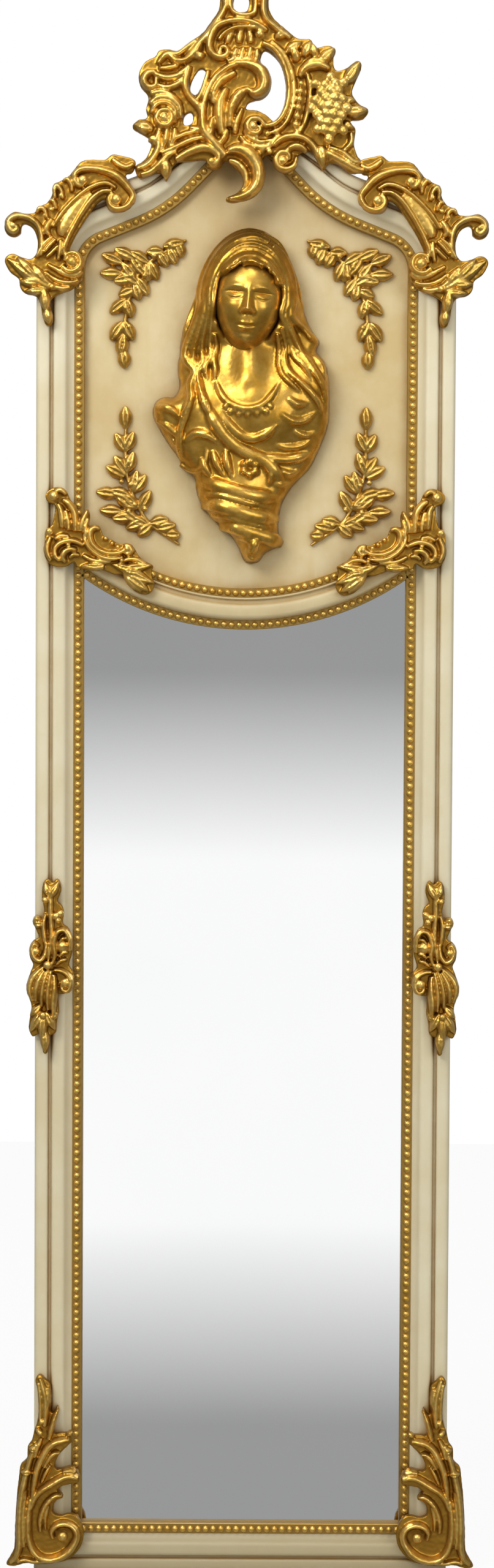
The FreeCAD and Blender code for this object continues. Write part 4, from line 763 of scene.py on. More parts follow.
SHOULDER_ROLLS = [
    ([(0.118, 0.715), (0.108, 0.76), (0.145, 0.807), (0.20, 0.855), (0.27, 0.887), (0.36, 0.906), (0.45, 0.906),
      (0.498, 0.884), (0.507, 0.848), (0.485, 0.815), (0.445, 0.81)],
     [3, 3.6, 4.2, 4.8, 4.6, 3.8, 3.8, 3.8, 3.6, 3.2, 2.2], 13),
    ([(0.112, 0.74), (0.14, 0.70), (0.19, 0.68), (0.24, 0.683), (0.272, 0.715), (0.268, 0.75), (0.24, 0.766)],
     [3, 3.2, 3.4, 3.4, 3.2, 3, 2], 12),
    ([(0.225, 0.80), (0.29, 0.826), (0.37, 0.812), (0.45, 0.772), (0.53, 0.712), (0.60, 0.645), (0.655, 0.575)],
     [2.2, 3, 3.2, 3, 3, 2.8, 2], 12),
    ([(0.25, 0.782), (0.32, 0.778), (0.39, 0.735), (0.455, 0.66), (0.507, 0.585), (0.545, 0.525), (0.575, 0.462),
      (0.578, 0.415)], [2.2, 2.8, 3.2, 3, 3, 3, 3, 2.2], 12),
    ([(0.39, 0.768), (0.46, 0.72), (0.53, 0.645), (0.583, 0.567), (0.60, 0.525)], [4, 8, 9.5, 8.5, 4], 9),
    ([(0.66, 0.62), (0.69, 0.585), (0.70, 0.55), (0.675, 0.53)], [3, 4.4, 4, 2.4], 11),
    ([(0.525, 0.775), (0.528, 0.815), (0.555, 0.847), (0.585, 0.838)], [2.2, 2.8, 3, 2], 11),
    ([(0.585, 0.735), (0.60, 0.785), (0.632, 0.812), (0.645, 0.785), (0.64, 0.74)], [2, 2.8, 3, 2.8, 2], 10),
    ([(0.632, 0.675), (0.648, 0.72), (0.678, 0.725)], [2, 2.8, 2], 10),
    ([(0.695, 0.625), (0.712, 0.672), (0.748, 0.682), (0.765, 0.655)], [2, 2.8, 2.8, 2], 10),
    ([(0.735, 0.41), (0.732, 0.47), (0.733, 0.53), (0.755, 0.583), (0.80, 0.618), (0.86, 0.635), (0.92, 0.632),
      (0.957, 0.605), (0.955, 0.565), (0.925, 0.547), (0.90, 0.562), (0.905, 0.585)],
     [2.4, 2.8, 3, 3.2, 3.4, 3.6, 3.8, 3.8, 3.4, 3, 2.6, 1.8], 11),
    ([(0.635, 0.505), (0.672, 0.472), (0.715, 0.43)], [2, 2.6, 2], 10),
    ([(0.622, 0.465), (0.655, 0.435), (0.70, 0.40)], [2, 2.6, 2], 9),
    ([(0.655, 0.52), (0.70, 0.49), (0.742, 0.44), (0.765, 0.40)], [2, 2.6, 2.6, 2], 10),
    ([(0.602, 0.50), (0.606, 0.44), (0.618, 0.385)], [2.2, 2.8, 2.2], 11),
    ([(0.592, 0.35), (0.55, 0.322), (0.50, 0.326), (0.465, 0.358), (0.473, 0.405), (0.515, 0.427), (0.56, 0.415),
      (0.575, 0.38)], [3, 3.4, 3.6, 3.6, 3.4, 3.2, 2.8, 2], 13),
    ([(0.455, 0.325), (0.495, 0.298), (0.56, 0.30), (0.625, 0.33), (0.69, 0.36)], [2.2, 3, 3, 2.8, 2], 9),
    ([(0.478, 0.272), (0.53, 0.258), (0.60, 0.262), (0.66, 0.285), (0.71, 0.32)], [2, 3, 3, 2.6, 2], 7),
    ([(0.535, 0.232), (0.59, 0.222), (0.65, 0.235), (0.70, 0.25)], [2, 3, 3.4, 2], 8),
    ([(0.105, 0.94), (0.15, 0.917), (0.20, 0.93), (0.25, 0.965)], [2.4, 3.2, 3.4, 2.4], 9)]
SHOULDER_LEAVES = [
    (0.655, 0.225, 0.965, 0.392, 8.5, 10), (0.70, 0.255, 0.79, 0.36, 5, 11), (0.77, 0.29, 0.90, 0.40, 5.4, 12),
    (0.75, 0.255, 0.885, 0.262, 5.4, 11), (0.70, 0.215, 0.845, 0.207, 5, 11), (0.715, 0.215, 0.70, 0.085, 6, 13),
    (0.695, 0.10, 0.682, 0.022, 5.4, 11), (0.645, 0.215, 0.68, 0.255, 4, 11)]
SHOULDER_BALLS = [(0.45, 0.842, 6, 6), (0.222, 0.732, 6.6, 7), (0.523, 0.374, 6.6, 8), (0.927, 0.583, 3.4, 7),
                  (0.60, 0.755, 2.8, 6), (0.665, 0.675, 2.8, 6), (0.71, 0.64, 2.6, 6)]


PAIR_EASE = 2
PAIR_TOOTH = 0.3


def carved_pair(name, place, outline, rolls, leaves, balls, voxel):
    """A right-hand carving and its left-hand copy, in place of both solids."""
    right = cast(carved(place, outline, [], rolls, leaves, balls, BOARD, CROWN), voxel, PAIR_EASE, PAIR_TOOTH)
    for node, bm in ((name + "_left", mirrored(right)), (name + "_right", right)):
        carving = shown(node + "_carving", bm, ornament_gilt, SOFT)
        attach(carving, "frame")
        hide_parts(node)


carved_pair("shoulder_scroll", SHOULDER_PLACE, SHOULDER_OUTLINE, SHOULDER_ROLLS, SHOULDER_LEAVES, SHOULDER_BALLS, 1.1)


# Arch corners: a pair of shell and leaf carvings where the arch rail meets the stiles. Cast in composition as the
# shoulder scrolls are, glued and pinned over the joint, and gilded.
ARCH_CORNER_PLACE = (99.7, 1120.0, 127.7, 127.0)
ARCH_CORNER_OUTLINE = [
    (0.80, 0.93), (0.86, 0.965), (0.94, 0.945), (0.985, 0.89), (0.96, 0.83), (0.90, 0.80), (0.91, 0.70),
    (0.93, 0.62), (0.985, 0.575), (0.99, 0.48), (1.0, 0.40), (0.97, 0.31), (0.90, 0.26), (0.80, 0.26),
    (0.73, 0.30), (0.70, 0.255), (0.62, 0.235), (0.50, 0.235), (0.43, 0.215), (0.36, 0.19), (0.27, 0.19),
    (0.24, 0.10), (0.17, 0.03), (0.07, 0.02), (0.02, 0.10), (0.05, 0.20), (0.03, 0.27), (0.10, 0.31),
    (0.16, 0.36), (0.20, 0.43), (0.26, 0.47), (0.32, 0.46), (0.40, 0.50), (0.47, 0.53), (0.50, 0.60),
    (0.56, 0.63), (0.60, 0.62), (0.59, 0.70), (0.61, 0.77), (0.65, 0.73), (0.69, 0.69), (0.71, 0.78),
    (0.76, 0.84)]
ARCH_CORNER_ROLLS = [
    ([(0.715, 0.57), (0.718, 0.67), (0.735, 0.76), (0.785, 0.825), (0.83, 0.852)], [3.4, 4.2, 4.4, 4, 2.4], 12),
    ([(0.775, 0.58), (0.783, 0.67), (0.80, 0.755)], [3, 3.6, 2.4], 10),
    ([(0.832, 0.60), (0.835, 0.69), (0.845, 0.765), (0.875, 0.81)], [3, 3.8, 3.6, 2.4], 12),
    ([(0.672, 0.57), (0.655, 0.655), (0.612, 0.755)], [3, 4, 2], 11),
    ([(0.628, 0.53), (0.628, 0.61), (0.603, 0.685)], [2.6, 3.2, 2], 10),
    ([(0.505, 0.592), (0.545, 0.604), (0.582, 0.575), (0.588, 0.52), (0.562, 0.455), (0.50, 0.402), (0.42, 0.376),
      (0.335, 0.382), (0.265, 0.415)], [2.6, 3.6, 4, 3.8, 3.4, 3.2, 3.2, 3, 2.4], 12),
    ([(0.64, 0.545), (0.622, 0.468), (0.568, 0.398), (0.48, 0.342), (0.38, 0.328), (0.295, 0.345)],
     [2.2, 2.8, 3, 3, 2.8, 2], 10),
    ([(0.285, 0.452), (0.242, 0.44), (0.222, 0.405), (0.247, 0.372), (0.28, 0.385)], [2.4, 3.2, 3.4, 3, 2], 11),
    ([(0.645, 0.445), (0.70, 0.476), (0.77, 0.488), (0.845, 0.468), (0.893, 0.42), (0.893, 0.355), (0.85, 0.312)],
     [2.4, 3.4, 3.8, 3.8, 3.6, 3.4, 2.4], 12),
    ([(0.705, 0.405), (0.765, 0.412), (0.815, 0.383), (0.828, 0.335), (0.80, 0.30)], [2.4, 3.6, 4, 3.6, 2.2], 14),
    ([(0.68, 0.36), (0.735, 0.365), (0.77, 0.335)], [2, 2.8, 2], 9),
    ([(0.935, 0.52), (0.962, 0.45), (0.962, 0.38), (0.93, 0.31)], [2.4, 3.2, 3.2, 2.4], 10),
    ([(0.775, 0.525), (0.84, 0.53), (0.90, 0.50)], [2.2, 3, 2.2], 10),
    ([(0.10, 0.285), (0.17, 0.32), (0.25, 0.325), (0.325, 0.29)], [2.2, 3, 3, 2], 10),
    ([(0.80, 0.895), (0.845, 0.935), (0.90, 0.925)], [2.4, 3.4, 2.4], 9),
    ([(0.405, 0.30), (0.49, 0.305), (0.575, 0.32), (0.65, 0.36)], [2, 2.8, 2.8, 2], 9)]
ARCH_CORNER_LEAVES = [
    (0.20, 0.225, 0.395, 0.282, 5, 12), (0.46, 0.262, 0.665, 0.262, 5.2, 12), (0.30, 0.238, 0.04, 0.275, 6, 12),
    (0.29, 0.218, 0.03, 0.12, 6.5, 13), (0.28, 0.20, 0.135, 0.035, 6, 12), (0.285, 0.225, 0.11, 0.20, 4.6, 15),
    (0.275, 0.205, 0.07, 0.045, 7.5, 13)]
ARCH_CORNER_BALLS = [(0.905, 0.882, 5.4, 8), (0.945, 0.568, 4.6, 7), (0.45, 0.508, 2.8, 2.5),
                     (0.392, 0.466, 2.8, 2.5),
                     (0.342, 0.432, 2.6, 6), (0.262, 0.418, 2.6, 8), (0.778, 0.45, 2.6, 8), (0.305, 0.315, 2.4, 10)]
carved_pair("arch_corner", ARCH_CORNER_PLACE, ARCH_CORNER_OUTLINE, ARCH_CORNER_ROLLS, ARCH_CORNER_LEAVES,
            ARCH_CORNER_BALLS, 1.0)


# Side drops: a pair of small pendants of bud, shell, curl and flutes half way up the stiles. Cast in composition,
# glued and pinned to the moulding, and gilded.
DROP_PLACE = (187.0, 600.0, 59.0, 202.0)
DROP_OUTLINE = [
    (0.40, 0.985), (0.50, 0.965), (0.58, 0.985), (0.68, 0.96), (0.70, 0.88), (0.66, 0.82), (0.68, 0.775),
    (0.82, 0.775), (0.88, 0.745), (0.82, 0.705), (0.76, 0.655), (0.86, 0.64), (0.94, 0.60), (0.93, 0.545),
    (0.87, 0.50), (0.93, 0.45), (0.985, 0.39), (0.96, 0.325), (0.90, 0.27), (0.93, 0.20), (0.95, 0.14),
    (0.87, 0.095), (0.74, 0.11), (0.68, 0.06), (0.68, 0.01), (0.60, 0.0), (0.56, 0.06), (0.54, 0.10),
    (0.43, 0.12), (0.41, 0.18), (0.37, 0.24), (0.38, 0.33), (0.30, 0.335), (0.16, 0.35), (0.08, 0.40),
    (0.10, 0.46), (0.18, 0.50), (0.12, 0.57), (0.11, 0.65), (0.20, 0.71), (0.30, 0.735), (0.28, 0.80),
    (0.33, 0.84), (0.40, 0.86), (0.33, 0.93)]
DROP_ROLLS = [
    ([(0.54, 0.95), (0.53, 0.87), (0.53, 0.79), (0.51, 0.71), (0.52, 0.62), (0.57, 0.53)],
     [2.2, 3, 3.4, 3.4, 3.2, 2.4], 10),
    ([(0.62, 0.79), (0.66, 0.73), (0.64, 0.66), (0.61, 0.60)], [2, 3, 3, 2], 11),
    ([(0.15, 0.585), (0.165, 0.655), (0.26, 0.70), (0.39, 0.69), (0.46, 0.63), (0.44, 0.565), (0.49, 0.51)],
     [2.4, 3.2, 3.4, 3.4, 3.2, 3, 2], 14),
    ([(0.21, 0.655), (0.29, 0.655), (0.36, 0.63)], [1.8, 2.6, 1.8], 12),
    ([(0.20, 0.615), (0.28, 0.615), (0.365, 0.59)], [1.8, 2.6, 1.8], 12),
    ([(0.20, 0.575), (0.29, 0.573), (0.37, 0.55)], [1.8, 2.6, 1.8], 11),
    ([(0.22, 0.535), (0.32, 0.53), (0.42, 0.505)], [1.8, 2.6, 1.8], 11),
    ([(0.60, 0.63), (0.63, 0.565), (0.72, 0.53), (0.83, 0.545), (0.885, 0.59), (0.83, 0.623), (0.76, 0.605)],
     [2.4, 3.2, 3.6, 3.6, 3.4, 3, 2], 13),
    ([(0.46, 0.475), (0.32, 0.472), (0.18, 0.445), (0.135, 0.40), (0.19, 0.36), (0.29, 0.365), (0.32, 0.40)],
     [2.2, 3, 3.4, 3.4, 3.2, 3, 2], 13),
    ([(0.62, 0.50), (0.78, 0.46), (0.90, 0.41), (0.925, 0.355), (0.87, 0.30)], [2.4, 4, 4.4, 4, 2.2], 12),
    ([(0.64, 0.475), (0.74, 0.425), (0.80, 0.365), (0.80, 0.30)], [2.4, 4.2, 4.4, 2.2], 16),
    ([(0.57, 0.48), (0.64, 0.42), (0.69, 0.345), (0.69, 0.27)], [2, 3.6, 3.8, 2], 15),
    ([(0.51, 0.475), (0.55, 0.41), (0.58, 0.33), (0.57, 0.25)], [2, 3.4, 3.6, 2], 15),
    ([(0.455, 0.45), (0.45, 0.37), (0.475, 0.29), (0.46, 0.21)], [2.2, 4.2, 4.2, 2.2], 14),
    ([(0.72, 0.755), (0.79, 0.768), (0.85, 0.745)], [2, 3.4, 2], 14)]
DROP_LEAVES = [(0.56, 0.88, 0.37, 0.975, 4.6, 12), (0.56, 0.89, 0.64, 0.97, 4, 12),
               (0.50, 0.20, 0.39, 0.235, 3.6, 11),
               (0.68, 0.735, 0.87, 0.735, 5, 13), (0.72, 0.275, 0.92, 0.212, 5, 12), (0.68, 0.24, 0.92, 0.125, 6, 13),
               (0.62, 0.24, 0.44, 0.135, 5.4, 13), (0.66, 0.22, 0.70, 0.085, 6, 14),
               (0.63, 0.13, 0.64, 0.008, 5.4, 11)]
DROP_BALLS = [(0.63, 0.87, 3.8, 9), (0.34, 0.795, 4.2, 7), (0.43, 0.78, 4, 8), (0.38, 0.755, 3.6, 8),
              (0.30, 0.61, 8, 3),
              (0.80, 0.582, 4.2, 8), (0.575, 0.505, 4.8, 10), (0.24, 0.405, 5.6, 8), (0.665, 0.225, 3.8, 13)]
carved_pair("side_drop", DROP_PLACE, DROP_OUTLINE, DROP_ROLLS, DROP_LEAVES, DROP_BALLS, 0.85)


# Foot scrolls: a pair of tall acanthus scrolls on the lower corners, each rolled in at the foot round an eye.
# Cast in composition, glued and pinned over the mitres, and gilded.
FOOT_PLACE = (177.5, 8.0, 90.0, 225.0)
FOOT_OUTLINE = [
    (0.58, 0.99), (0.635, 0.96), (0.60, 0.90), (0.595, 0.82), (0.61, 0.75), (0.65, 0.70), (0.68, 0.65),
    (0.73, 0.62), (0.74, 0.56), (0.82, 0.525), (0.84, 0.47), (0.86, 0.40), (0.88, 0.30), (0.89, 0.20),
    (0.90, 0.10), (0.95, 0.055), (1.0, 0.015), (0.90, 0.005), (0.75, 0.02), (0.60, 0.015), (0.40, 0.02),
    (0.22, 0.04), (0.08, 0.09), (0.02, 0.15), (0.03, 0.21), (0.10, 0.26), (0.20, 0.275), (0.32, 0.265),
    (0.41, 0.28), (0.40, 0.32), (0.36, 0.345), (0.28, 0.36), (0.31, 0.385), (0.36, 0.395), (0.28, 0.42),
    (0.16, 0.43), (0.08, 0.44), (0.08, 0.48), (0.16, 0.52), (0.28, 0.51), (0.37, 0.505), (0.38, 0.54),
    (0.33, 0.58), (0.24, 0.62), (0.17, 0.65), (0.20, 0.69), (0.32, 0.69), (0.40, 0.69), (0.39, 0.74),
    (0.35, 0.80), (0.35, 0.83), (0.40, 0.80), (0.44, 0.80), (0.43, 0.87), (0.45, 0.94), (0.52, 0.97)]
FOOT_ROLLS = [
    ([(0.575, 0.975), (0.53, 0.92), (0.50, 0.86), (0.50, 0.79), (0.51, 0.73)], [2, 3.6, 4, 3.6, 2.6], 10),
    ([(0.60, 0.955), (0.575, 0.90), (0.565, 0.83), (0.565, 0.76)], [2, 2.6, 2.6, 2], 9),
    ([(0.475, 0.93), (0.465, 0.87), (0.475, 0.81)], [1.8, 2.4, 1.8], 8),
    ([(0.345, 0.818), (0.385, 0.775), (0.425, 0.72), (0.46, 0.665)], [1.8, 3, 3.4, 2.4], 12),
    ([(0.20, 0.665), (0.29, 0.66), (0.39, 0.648), (0.48, 0.615), (0.55, 0.565), (0.61, 0.505), (0.645, 0.43),
      (0.665, 0.36)], [2.4, 4, 4.4, 4.4, 4.4, 4.2, 3.6, 2.4], 13),
    ([(0.32, 0.595), (0.39, 0.593), (0.46, 0.565), (0.52, 0.52)], [2, 3.4, 3.4, 2], 11),
    ([(0.44, 0.53), (0.50, 0.49), (0.555, 0.44)], [1.8, 2.6, 1.8], 8),
    ([(0.09, 0.465), (0.17, 0.478), (0.27, 0.472), (0.37, 0.45), (0.47, 0.425), (0.56, 0.40), (0.64, 0.36),
      (0.68, 0.31)], [2.6, 3.8, 4, 4, 4, 3.8, 3.4, 2.4], 13),
    ([(0.12, 0.495), (0.20, 0.505), (0.28, 0.497)], [2, 2.8, 2], 9),
    ([(0.29, 0.374), (0.37, 0.374), (0.45, 0.35), (0.52, 0.31), (0.565, 0.25), (0.565, 0.19)],
     [1.8, 3, 3.2, 3.2, 3, 2], 9),
    ([(0.46, 0.32), (0.50, 0.26), (0.50, 0.20)], [1.6, 2.4, 1.6], 7),
    ([(0.69, 0.36), (0.715, 0.27), (0.715, 0.18), (0.67, 0.105), (0.58, 0.062), (0.46, 0.048), (0.33, 0.058),
      (0.21, 0.088), (0.125, 0.135), (0.10, 0.18), (0.155, 0.218), (0.26, 0.233), (0.36, 0.222), (0.42, 0.19),
      (0.40, 0.155)], [2.6, 3.6, 4, 4.2, 4.4, 4.6, 5, 5, 4.4, 4, 3.8, 4, 3.8, 3, 2], 13),
    ([(0.62, 0.64), (0.70, 0.55), (0.765, 0.45), (0.81, 0.35), (0.83, 0.24), (0.83, 0.12), (0.87, 0.06),
      (0.95, 0.025)],
     [2.4, 3.4, 4, 4.2, 4.2, 4, 3.4, 2], 11),
    ([(0.75, 0.40), (0.775, 0.30), (0.78, 0.20), (0.765, 0.11)], [2, 2.8, 2.8, 2], 9),
    ([(0.55, 0.67), (0.60, 0.625), (0.63, 0.57)], [2, 3, 2], 9),
    ([(0.50, 0.035), (0.64, 0.035), (0.78, 0.045), (0.86, 0.03)], [1.8, 2.6, 2.6, 1.8], 8)]
FOOT_LEAVES = [(0.56, 0.70, 0.625, 0.715, 3.6, 10), (0.62, 0.61, 0.715, 0.615, 4.2, 11),
               (0.68, 0.495, 0.82, 0.495, 4.4, 12),
               (0.16, 0.70, 0.24, 0.685, 3, 9)]
FOOT_BALLS = [(0.28, 0.17, 6, 7), (0.57, 0.70, 3.2, 7), (0.55, 0.755, 2.8, 7)]
carved_pair("foot_scroll", FOOT_PLACE, FOOT_OUTLINE, FOOT_ROLLS, FOOT_LEAVES, FOOT_BALLS, 0.95)


# Bust: a draped half figure with a veil over parted hair, cast in composition from a modelled original,
# pinned to the panel and gilded. The face is a plain calm one on drawing-book proportions.
BUST_PLACE = (-113.0, 1157.0, 210.0, 388.0)
BUST_BACK = 16.0
BUST_PLATE = 4.0
BUST_GRID = 3.0
BUST_EDGE = 17.0
BUST_BASE = 18.0
BUST_SWELL = 19.0
BODY_VOXEL = 2.2
BODY_EASE = 5
BUST_VOXEL = 1.55
BUST_TOOTH = 0.12
END_SINK = 0.55
LAID_SINK = 9.0
BUST_OUTLINE = [
    (0.58, 0.978), (0.66, 0.965), (0.73, 0.93), (0.79, 0.853), (0.834, 0.789), (0.862, 0.724), (0.90, 0.68),
    (0.94, 0.648), (0.915, 0.622), (0.955, 0.60), (0.985, 0.56), (0.992, 0.50), (0.995, 0.45), (0.98, 0.392),
    (0.93, 0.325), (0.887, 0.279), (0.80, 0.23), (0.75, 0.188), (0.728, 0.15), (0.722, 0.10), (0.74, 0.06),
    (0.70, 0.045), (0.645, 0.03), (0.62, 0.008), (0.575, 0.0), (0.53, 0.008), (0.505, 0.04), (0.475, 0.07),
    (0.42, 0.10), (0.35, 0.135), (0.295, 0.175), (0.27, 0.21), (0.26, 0.25), (0.21, 0.28), (0.165, 0.315),
    (0.11, 0.355), (0.06, 0.40), (0.03, 0.44), (0.05, 0.475), (0.10, 0.49), (0.15, 0.488), (0.175, 0.52),
    (0.165, 0.565), (0.172, 0.60), (0.182, 0.65), (0.20, 0.70), (0.235, 0.74), (0.27, 0.79), (0.311, 0.853),
    (0.371, 0.914), (0.46, 0.96)]
# Forms of the body: place in shares, half width and half height in millimetres, and how far each stands out.
BUST_FORMS = [
    (0.555, 0.585, 18, 40, 14), (0.552, 0.503, 6, 6, -3), (0.53, 0.465, 66, 40, 21), (0.25, 0.465, 30, 22, 9),
    (0.80, 0.50, 36, 34, 12),
    (0.93, 0.56, 18, 28, 5), (0.36, 0.385, 25, 23, 12), (0.69, 0.395, 30, 27, 14), (0.10, 0.43, 14, 18, 9),
    (0.48, 0.27, 42, 40, 15), (0.235, 0.335, 20, 26, 9), (0.70, 0.28, 24, 24, 4), (0.50, 0.15, 38, 34, 17),
    (0.575, 0.03, 12, 20, 9)]
HEAD_MIDDLE = (0.55, 0.76)
HEAD_TILT = 5.0
HEAD_HALF = (40.0, 56.0)
HOOD_REACH = 1.72
HOOD_FLOOR = 19.0
HOOD_ROUND = 46.0
FACE_BED = 34.0
FACE_BACK = 0.8 * FACE_BED
# Hair: a cap over the top of the head down to the hairline, and locks that sweep from the parting about the head and
# fall on the shoulders. Each lock is a half width and a line of shares: a low roll with fine strands on it.
HAIRLINE = 40.0
HAIR_CAP = 3.5
PARTING = 20.0
ARC_STEPS = 6
bust_spot = within(BUST_PLACE)


def bust_share(x, z):
    left, foot, width, height = BUST_PLACE
    return (x - left) / width, (z - foot) / height


def from_head(across, up):
    """The place of a spot that is measured across and up from the middle of the tilted head."""
    turn, middle = math.radians(HEAD_TILT), bust_spot(*HEAD_MIDDLE)
    return (middle.x + across * math.cos(turn) + up * math.sin(turn),
            middle.y + up * math.cos(turn) - across * math.sin(turn))


def about_head(reach, first, last):
    """Shares of places on an oval about the head, between two turns in degrees from its crown to the right."""
    shares = []
    for i in range(ARC_STEPS + 1):
        way = math.radians(first + (last - first) * i / ARC_STEPS)
        a, c = HEAD_HALF[0] * reach * math.sin(way), HEAD_HALF[1] * reach * math.cos(way)
        shares.append(bust_share(*from_head(a, c)))
    return shares


LOCKS = [
    (4.6, about_head(0.74, PARTING, -62)), (4.6, about_head(0.88, PARTING, -72)),
    (4.6, about_head(1.02, PARTING, -104) + [(0.343, 0.643), (0.352, 0.603), (0.322, 0.572), (0.33, 0.53)]),
    (4.8, about_head(1.14, PARTING, -104) + [(0.30, 0.63), (0.31, 0.59), (0.28, 0.553), (0.292, 0.505),
                                             (0.325, 0.455),
                                            (0.365, 0.41)]),
    (5.0, about_head(1.27, PARTING, -104) + [(0.256, 0.613), (0.27, 0.568), (0.242, 0.52), (0.246, 0.475),
                                             (0.214, 0.43),
                                            (0.19, 0.385), (0.188, 0.335), (0.20, 0.295)]),
    (4.6, about_head(1.40, PARTING - 8, -102) + [(0.212, 0.62), (0.225, 0.585), (0.262, 0.56), (0.275, 0.52)]),
    (3.0, [(0.372, 0.665), (0.378, 0.63), (0.366, 0.595), (0.376, 0.56), (0.362, 0.528)]),
    (4.4, about_head(0.74, PARTING, 66)), (4.4, about_head(0.88, PARTING, 76)),
    (4.4, about_head(1.02, PARTING, 104) + [(0.775, 0.64), (0.80, 0.605), (0.85, 0.575), (0.895, 0.53)]),
    (4.6, about_head(1.14, PARTING, 104) + [(0.822, 0.625), (0.868, 0.588), (0.922, 0.543), (0.958, 0.495),
                                            (0.966, 0.44)]),
    (4.2, about_head(1.27, PARTING + 6, 100) + [(0.85, 0.678), (0.888, 0.66), (0.925, 0.65)]),
    (3.6, [(0.728, 0.68), (0.75, 0.63), (0.742, 0.595), (0.766, 0.56), (0.812, 0.532), (0.868, 0.505), (0.925, 0.472),
           (0.955, 0.425)]),
    (3.0, [(0.705, 0.665), (0.716, 0.622), (0.713, 0.585), (0.735, 0.55), (0.778, 0.52), (0.832, 0.495)])]
LOCK_RISE = 5.0
STRAND_HALF = 1.5
STRAND_RISE = 8.0
STRANDS = (-0.62, 0.0, 0.62)
# Folds of veil, dress and sash: half width, rise and a line of shares.
FOLDS = [
    (3.4, 3.0, [(0.60, 0.955), (0.47, 0.948), (0.375, 0.895), (0.31, 0.825), (0.265, 0.755), (0.222, 0.695),
                (0.20, 0.64)]),
    (3.2, 3.0, [(0.60, 0.955), (0.70, 0.932), (0.765, 0.872), (0.812, 0.80), (0.842, 0.735)]),
    (3.4, 4.5, [(0.375, 0.532), (0.402, 0.492), (0.45, 0.463), (0.53, 0.447), (0.62, 0.455), (0.68, 0.487),
                (0.722, 0.53)]),
    (5.2, 5.0, [(0.395, 0.445), (0.445, 0.402), (0.515, 0.371), (0.58, 0.362), (0.645, 0.374), (0.70, 0.40)]),
    (7.4, 7.0, [(0.335, 0.452), (0.372, 0.41), (0.42, 0.372), (0.49, 0.338), (0.57, 0.315), (0.64, 0.298),
                (0.70, 0.262),
                (0.748, 0.213)]),
    (5.0, 6.0, [(0.60, 0.315), (0.68, 0.306), (0.76, 0.304), (0.83, 0.312), (0.885, 0.325)]),
    (3.2, 4.0, [(0.70, 0.345), (0.77, 0.338), (0.84, 0.345), (0.90, 0.368)]),
    (3.8, 5.0, [(0.73, 0.43), (0.79, 0.412), (0.85, 0.415), (0.91, 0.44)]),
    (4.6, 5.5, [(0.215, 0.352), (0.265, 0.374), (0.33, 0.37), (0.40, 0.345)]),
    (3.0, 5.0, [(0.185, 0.29), (0.24, 0.273), (0.29, 0.272), (0.325, 0.297), (0.33, 0.335)]),
    (4.8, 7.0, [(0.305, 0.305), (0.325, 0.276), (0.36, 0.248)]),
    (4.8, 8.0, [(0.365, 0.325), (0.385, 0.288), (0.425, 0.252)]),
    (4.8, 8.0, [(0.432, 0.332), (0.44, 0.29), (0.468, 0.248)]),
    (4.4, 7.0, [(0.66, 0.285), (0.675, 0.255), (0.662, 0.228)]),
    (3.6, 5.0, [(0.765, 0.475), (0.815, 0.46), (0.87, 0.466)]),
    (3.0, 4.5, [(0.80, 0.385), (0.86, 0.372), (0.92, 0.385)]),
    (3.0, 5.0, [(0.72, 0.275), (0.775, 0.262), (0.83, 0.275)]),
    (2.8, 5.0, [(0.69, 0.235), (0.735, 0.232), (0.785, 0.24)]),
    (7.6, 7.0, [(0.272, 0.238), (0.36, 0.231), (0.46, 0.214), (0.56, 0.199), (0.65, 0.194), (0.725, 0.197)]),
    (3.4, 6.0, [(0.29, 0.204), (0.38, 0.200), (0.48, 0.186), (0.58, 0.172), (0.68, 0.165)]),
    (8.0, 8.0, [(0.30, 0.176), (0.38, 0.170), (0.48, 0.155), (0.57, 0.141), (0.65, 0.134), (0.72, 0.137)]),
    (3.4, 6.0, [(0.36, 0.142), (0.45, 0.133), (0.55, 0.118), (0.64, 0.107), (0.70, 0.106)]),
    (8.2, 9.0, [(0.40, 0.116), (0.47, 0.108), (0.55, 0.094), (0.63, 0.081), (0.70, 0.069), (0.74, 0.058)]),
    (3.6, 6.0, [(0.49, 0.078), (0.55, 0.070), (0.61, 0.057)]),
    (6.0, 9.0, [(0.61, 0.088), (0.585, 0.052), (0.575, 0.012)]),
    (2.2, 6.0, [(0.54, 0.042), (0.575, 0.034), (0.612, 0.036)]),
    (2.2, 6.0, [(0.548, 0.022), (0.578, 0.014), (0.605, 0.016)]),
    (4.2, 5.0, [(0.05, 0.452), (0.10, 0.452), (0.15, 0.44), (0.19, 0.415)]),
    (3.6, 5.0, [(0.06, 0.418), (0.11, 0.402), (0.16, 0.378), (0.20, 0.345)]),
    (2.6, 4.0, [(0.13, 0.375), (0.17, 0.34), (0.215, 0.305)]),
    (3.6, 4.0, [(0.90, 0.605), (0.94, 0.575), (0.965, 0.53)])]
FLOWER_MIDDLE = (0.562, 0.277)
FLOWER_PETALS = 6
PETAL_REACH = (0.014, 0.036, 0.058)
for petal in range(FLOWER_PETALS):
    turn = 2 * math.pi * (petal + 0.3) / FLOWER_PETALS
    FOLDS.append((4.6, 7.0, [(FLOWER_MIDDLE[0] + far * math.cos(turn + 6 * far),
                              FLOWER_MIDDLE[1] + 0.54 * far * math.sin(turn + 6 * far)) for far in PETAL_REACH]))
LACE = [(0.43 + 0.024 * i, 0.452 - 0.010 * (i % 2) - 0.0012 * i * (10 - i) * 0.4) for i in range(11)]
LACE_RADIUS = 3.0
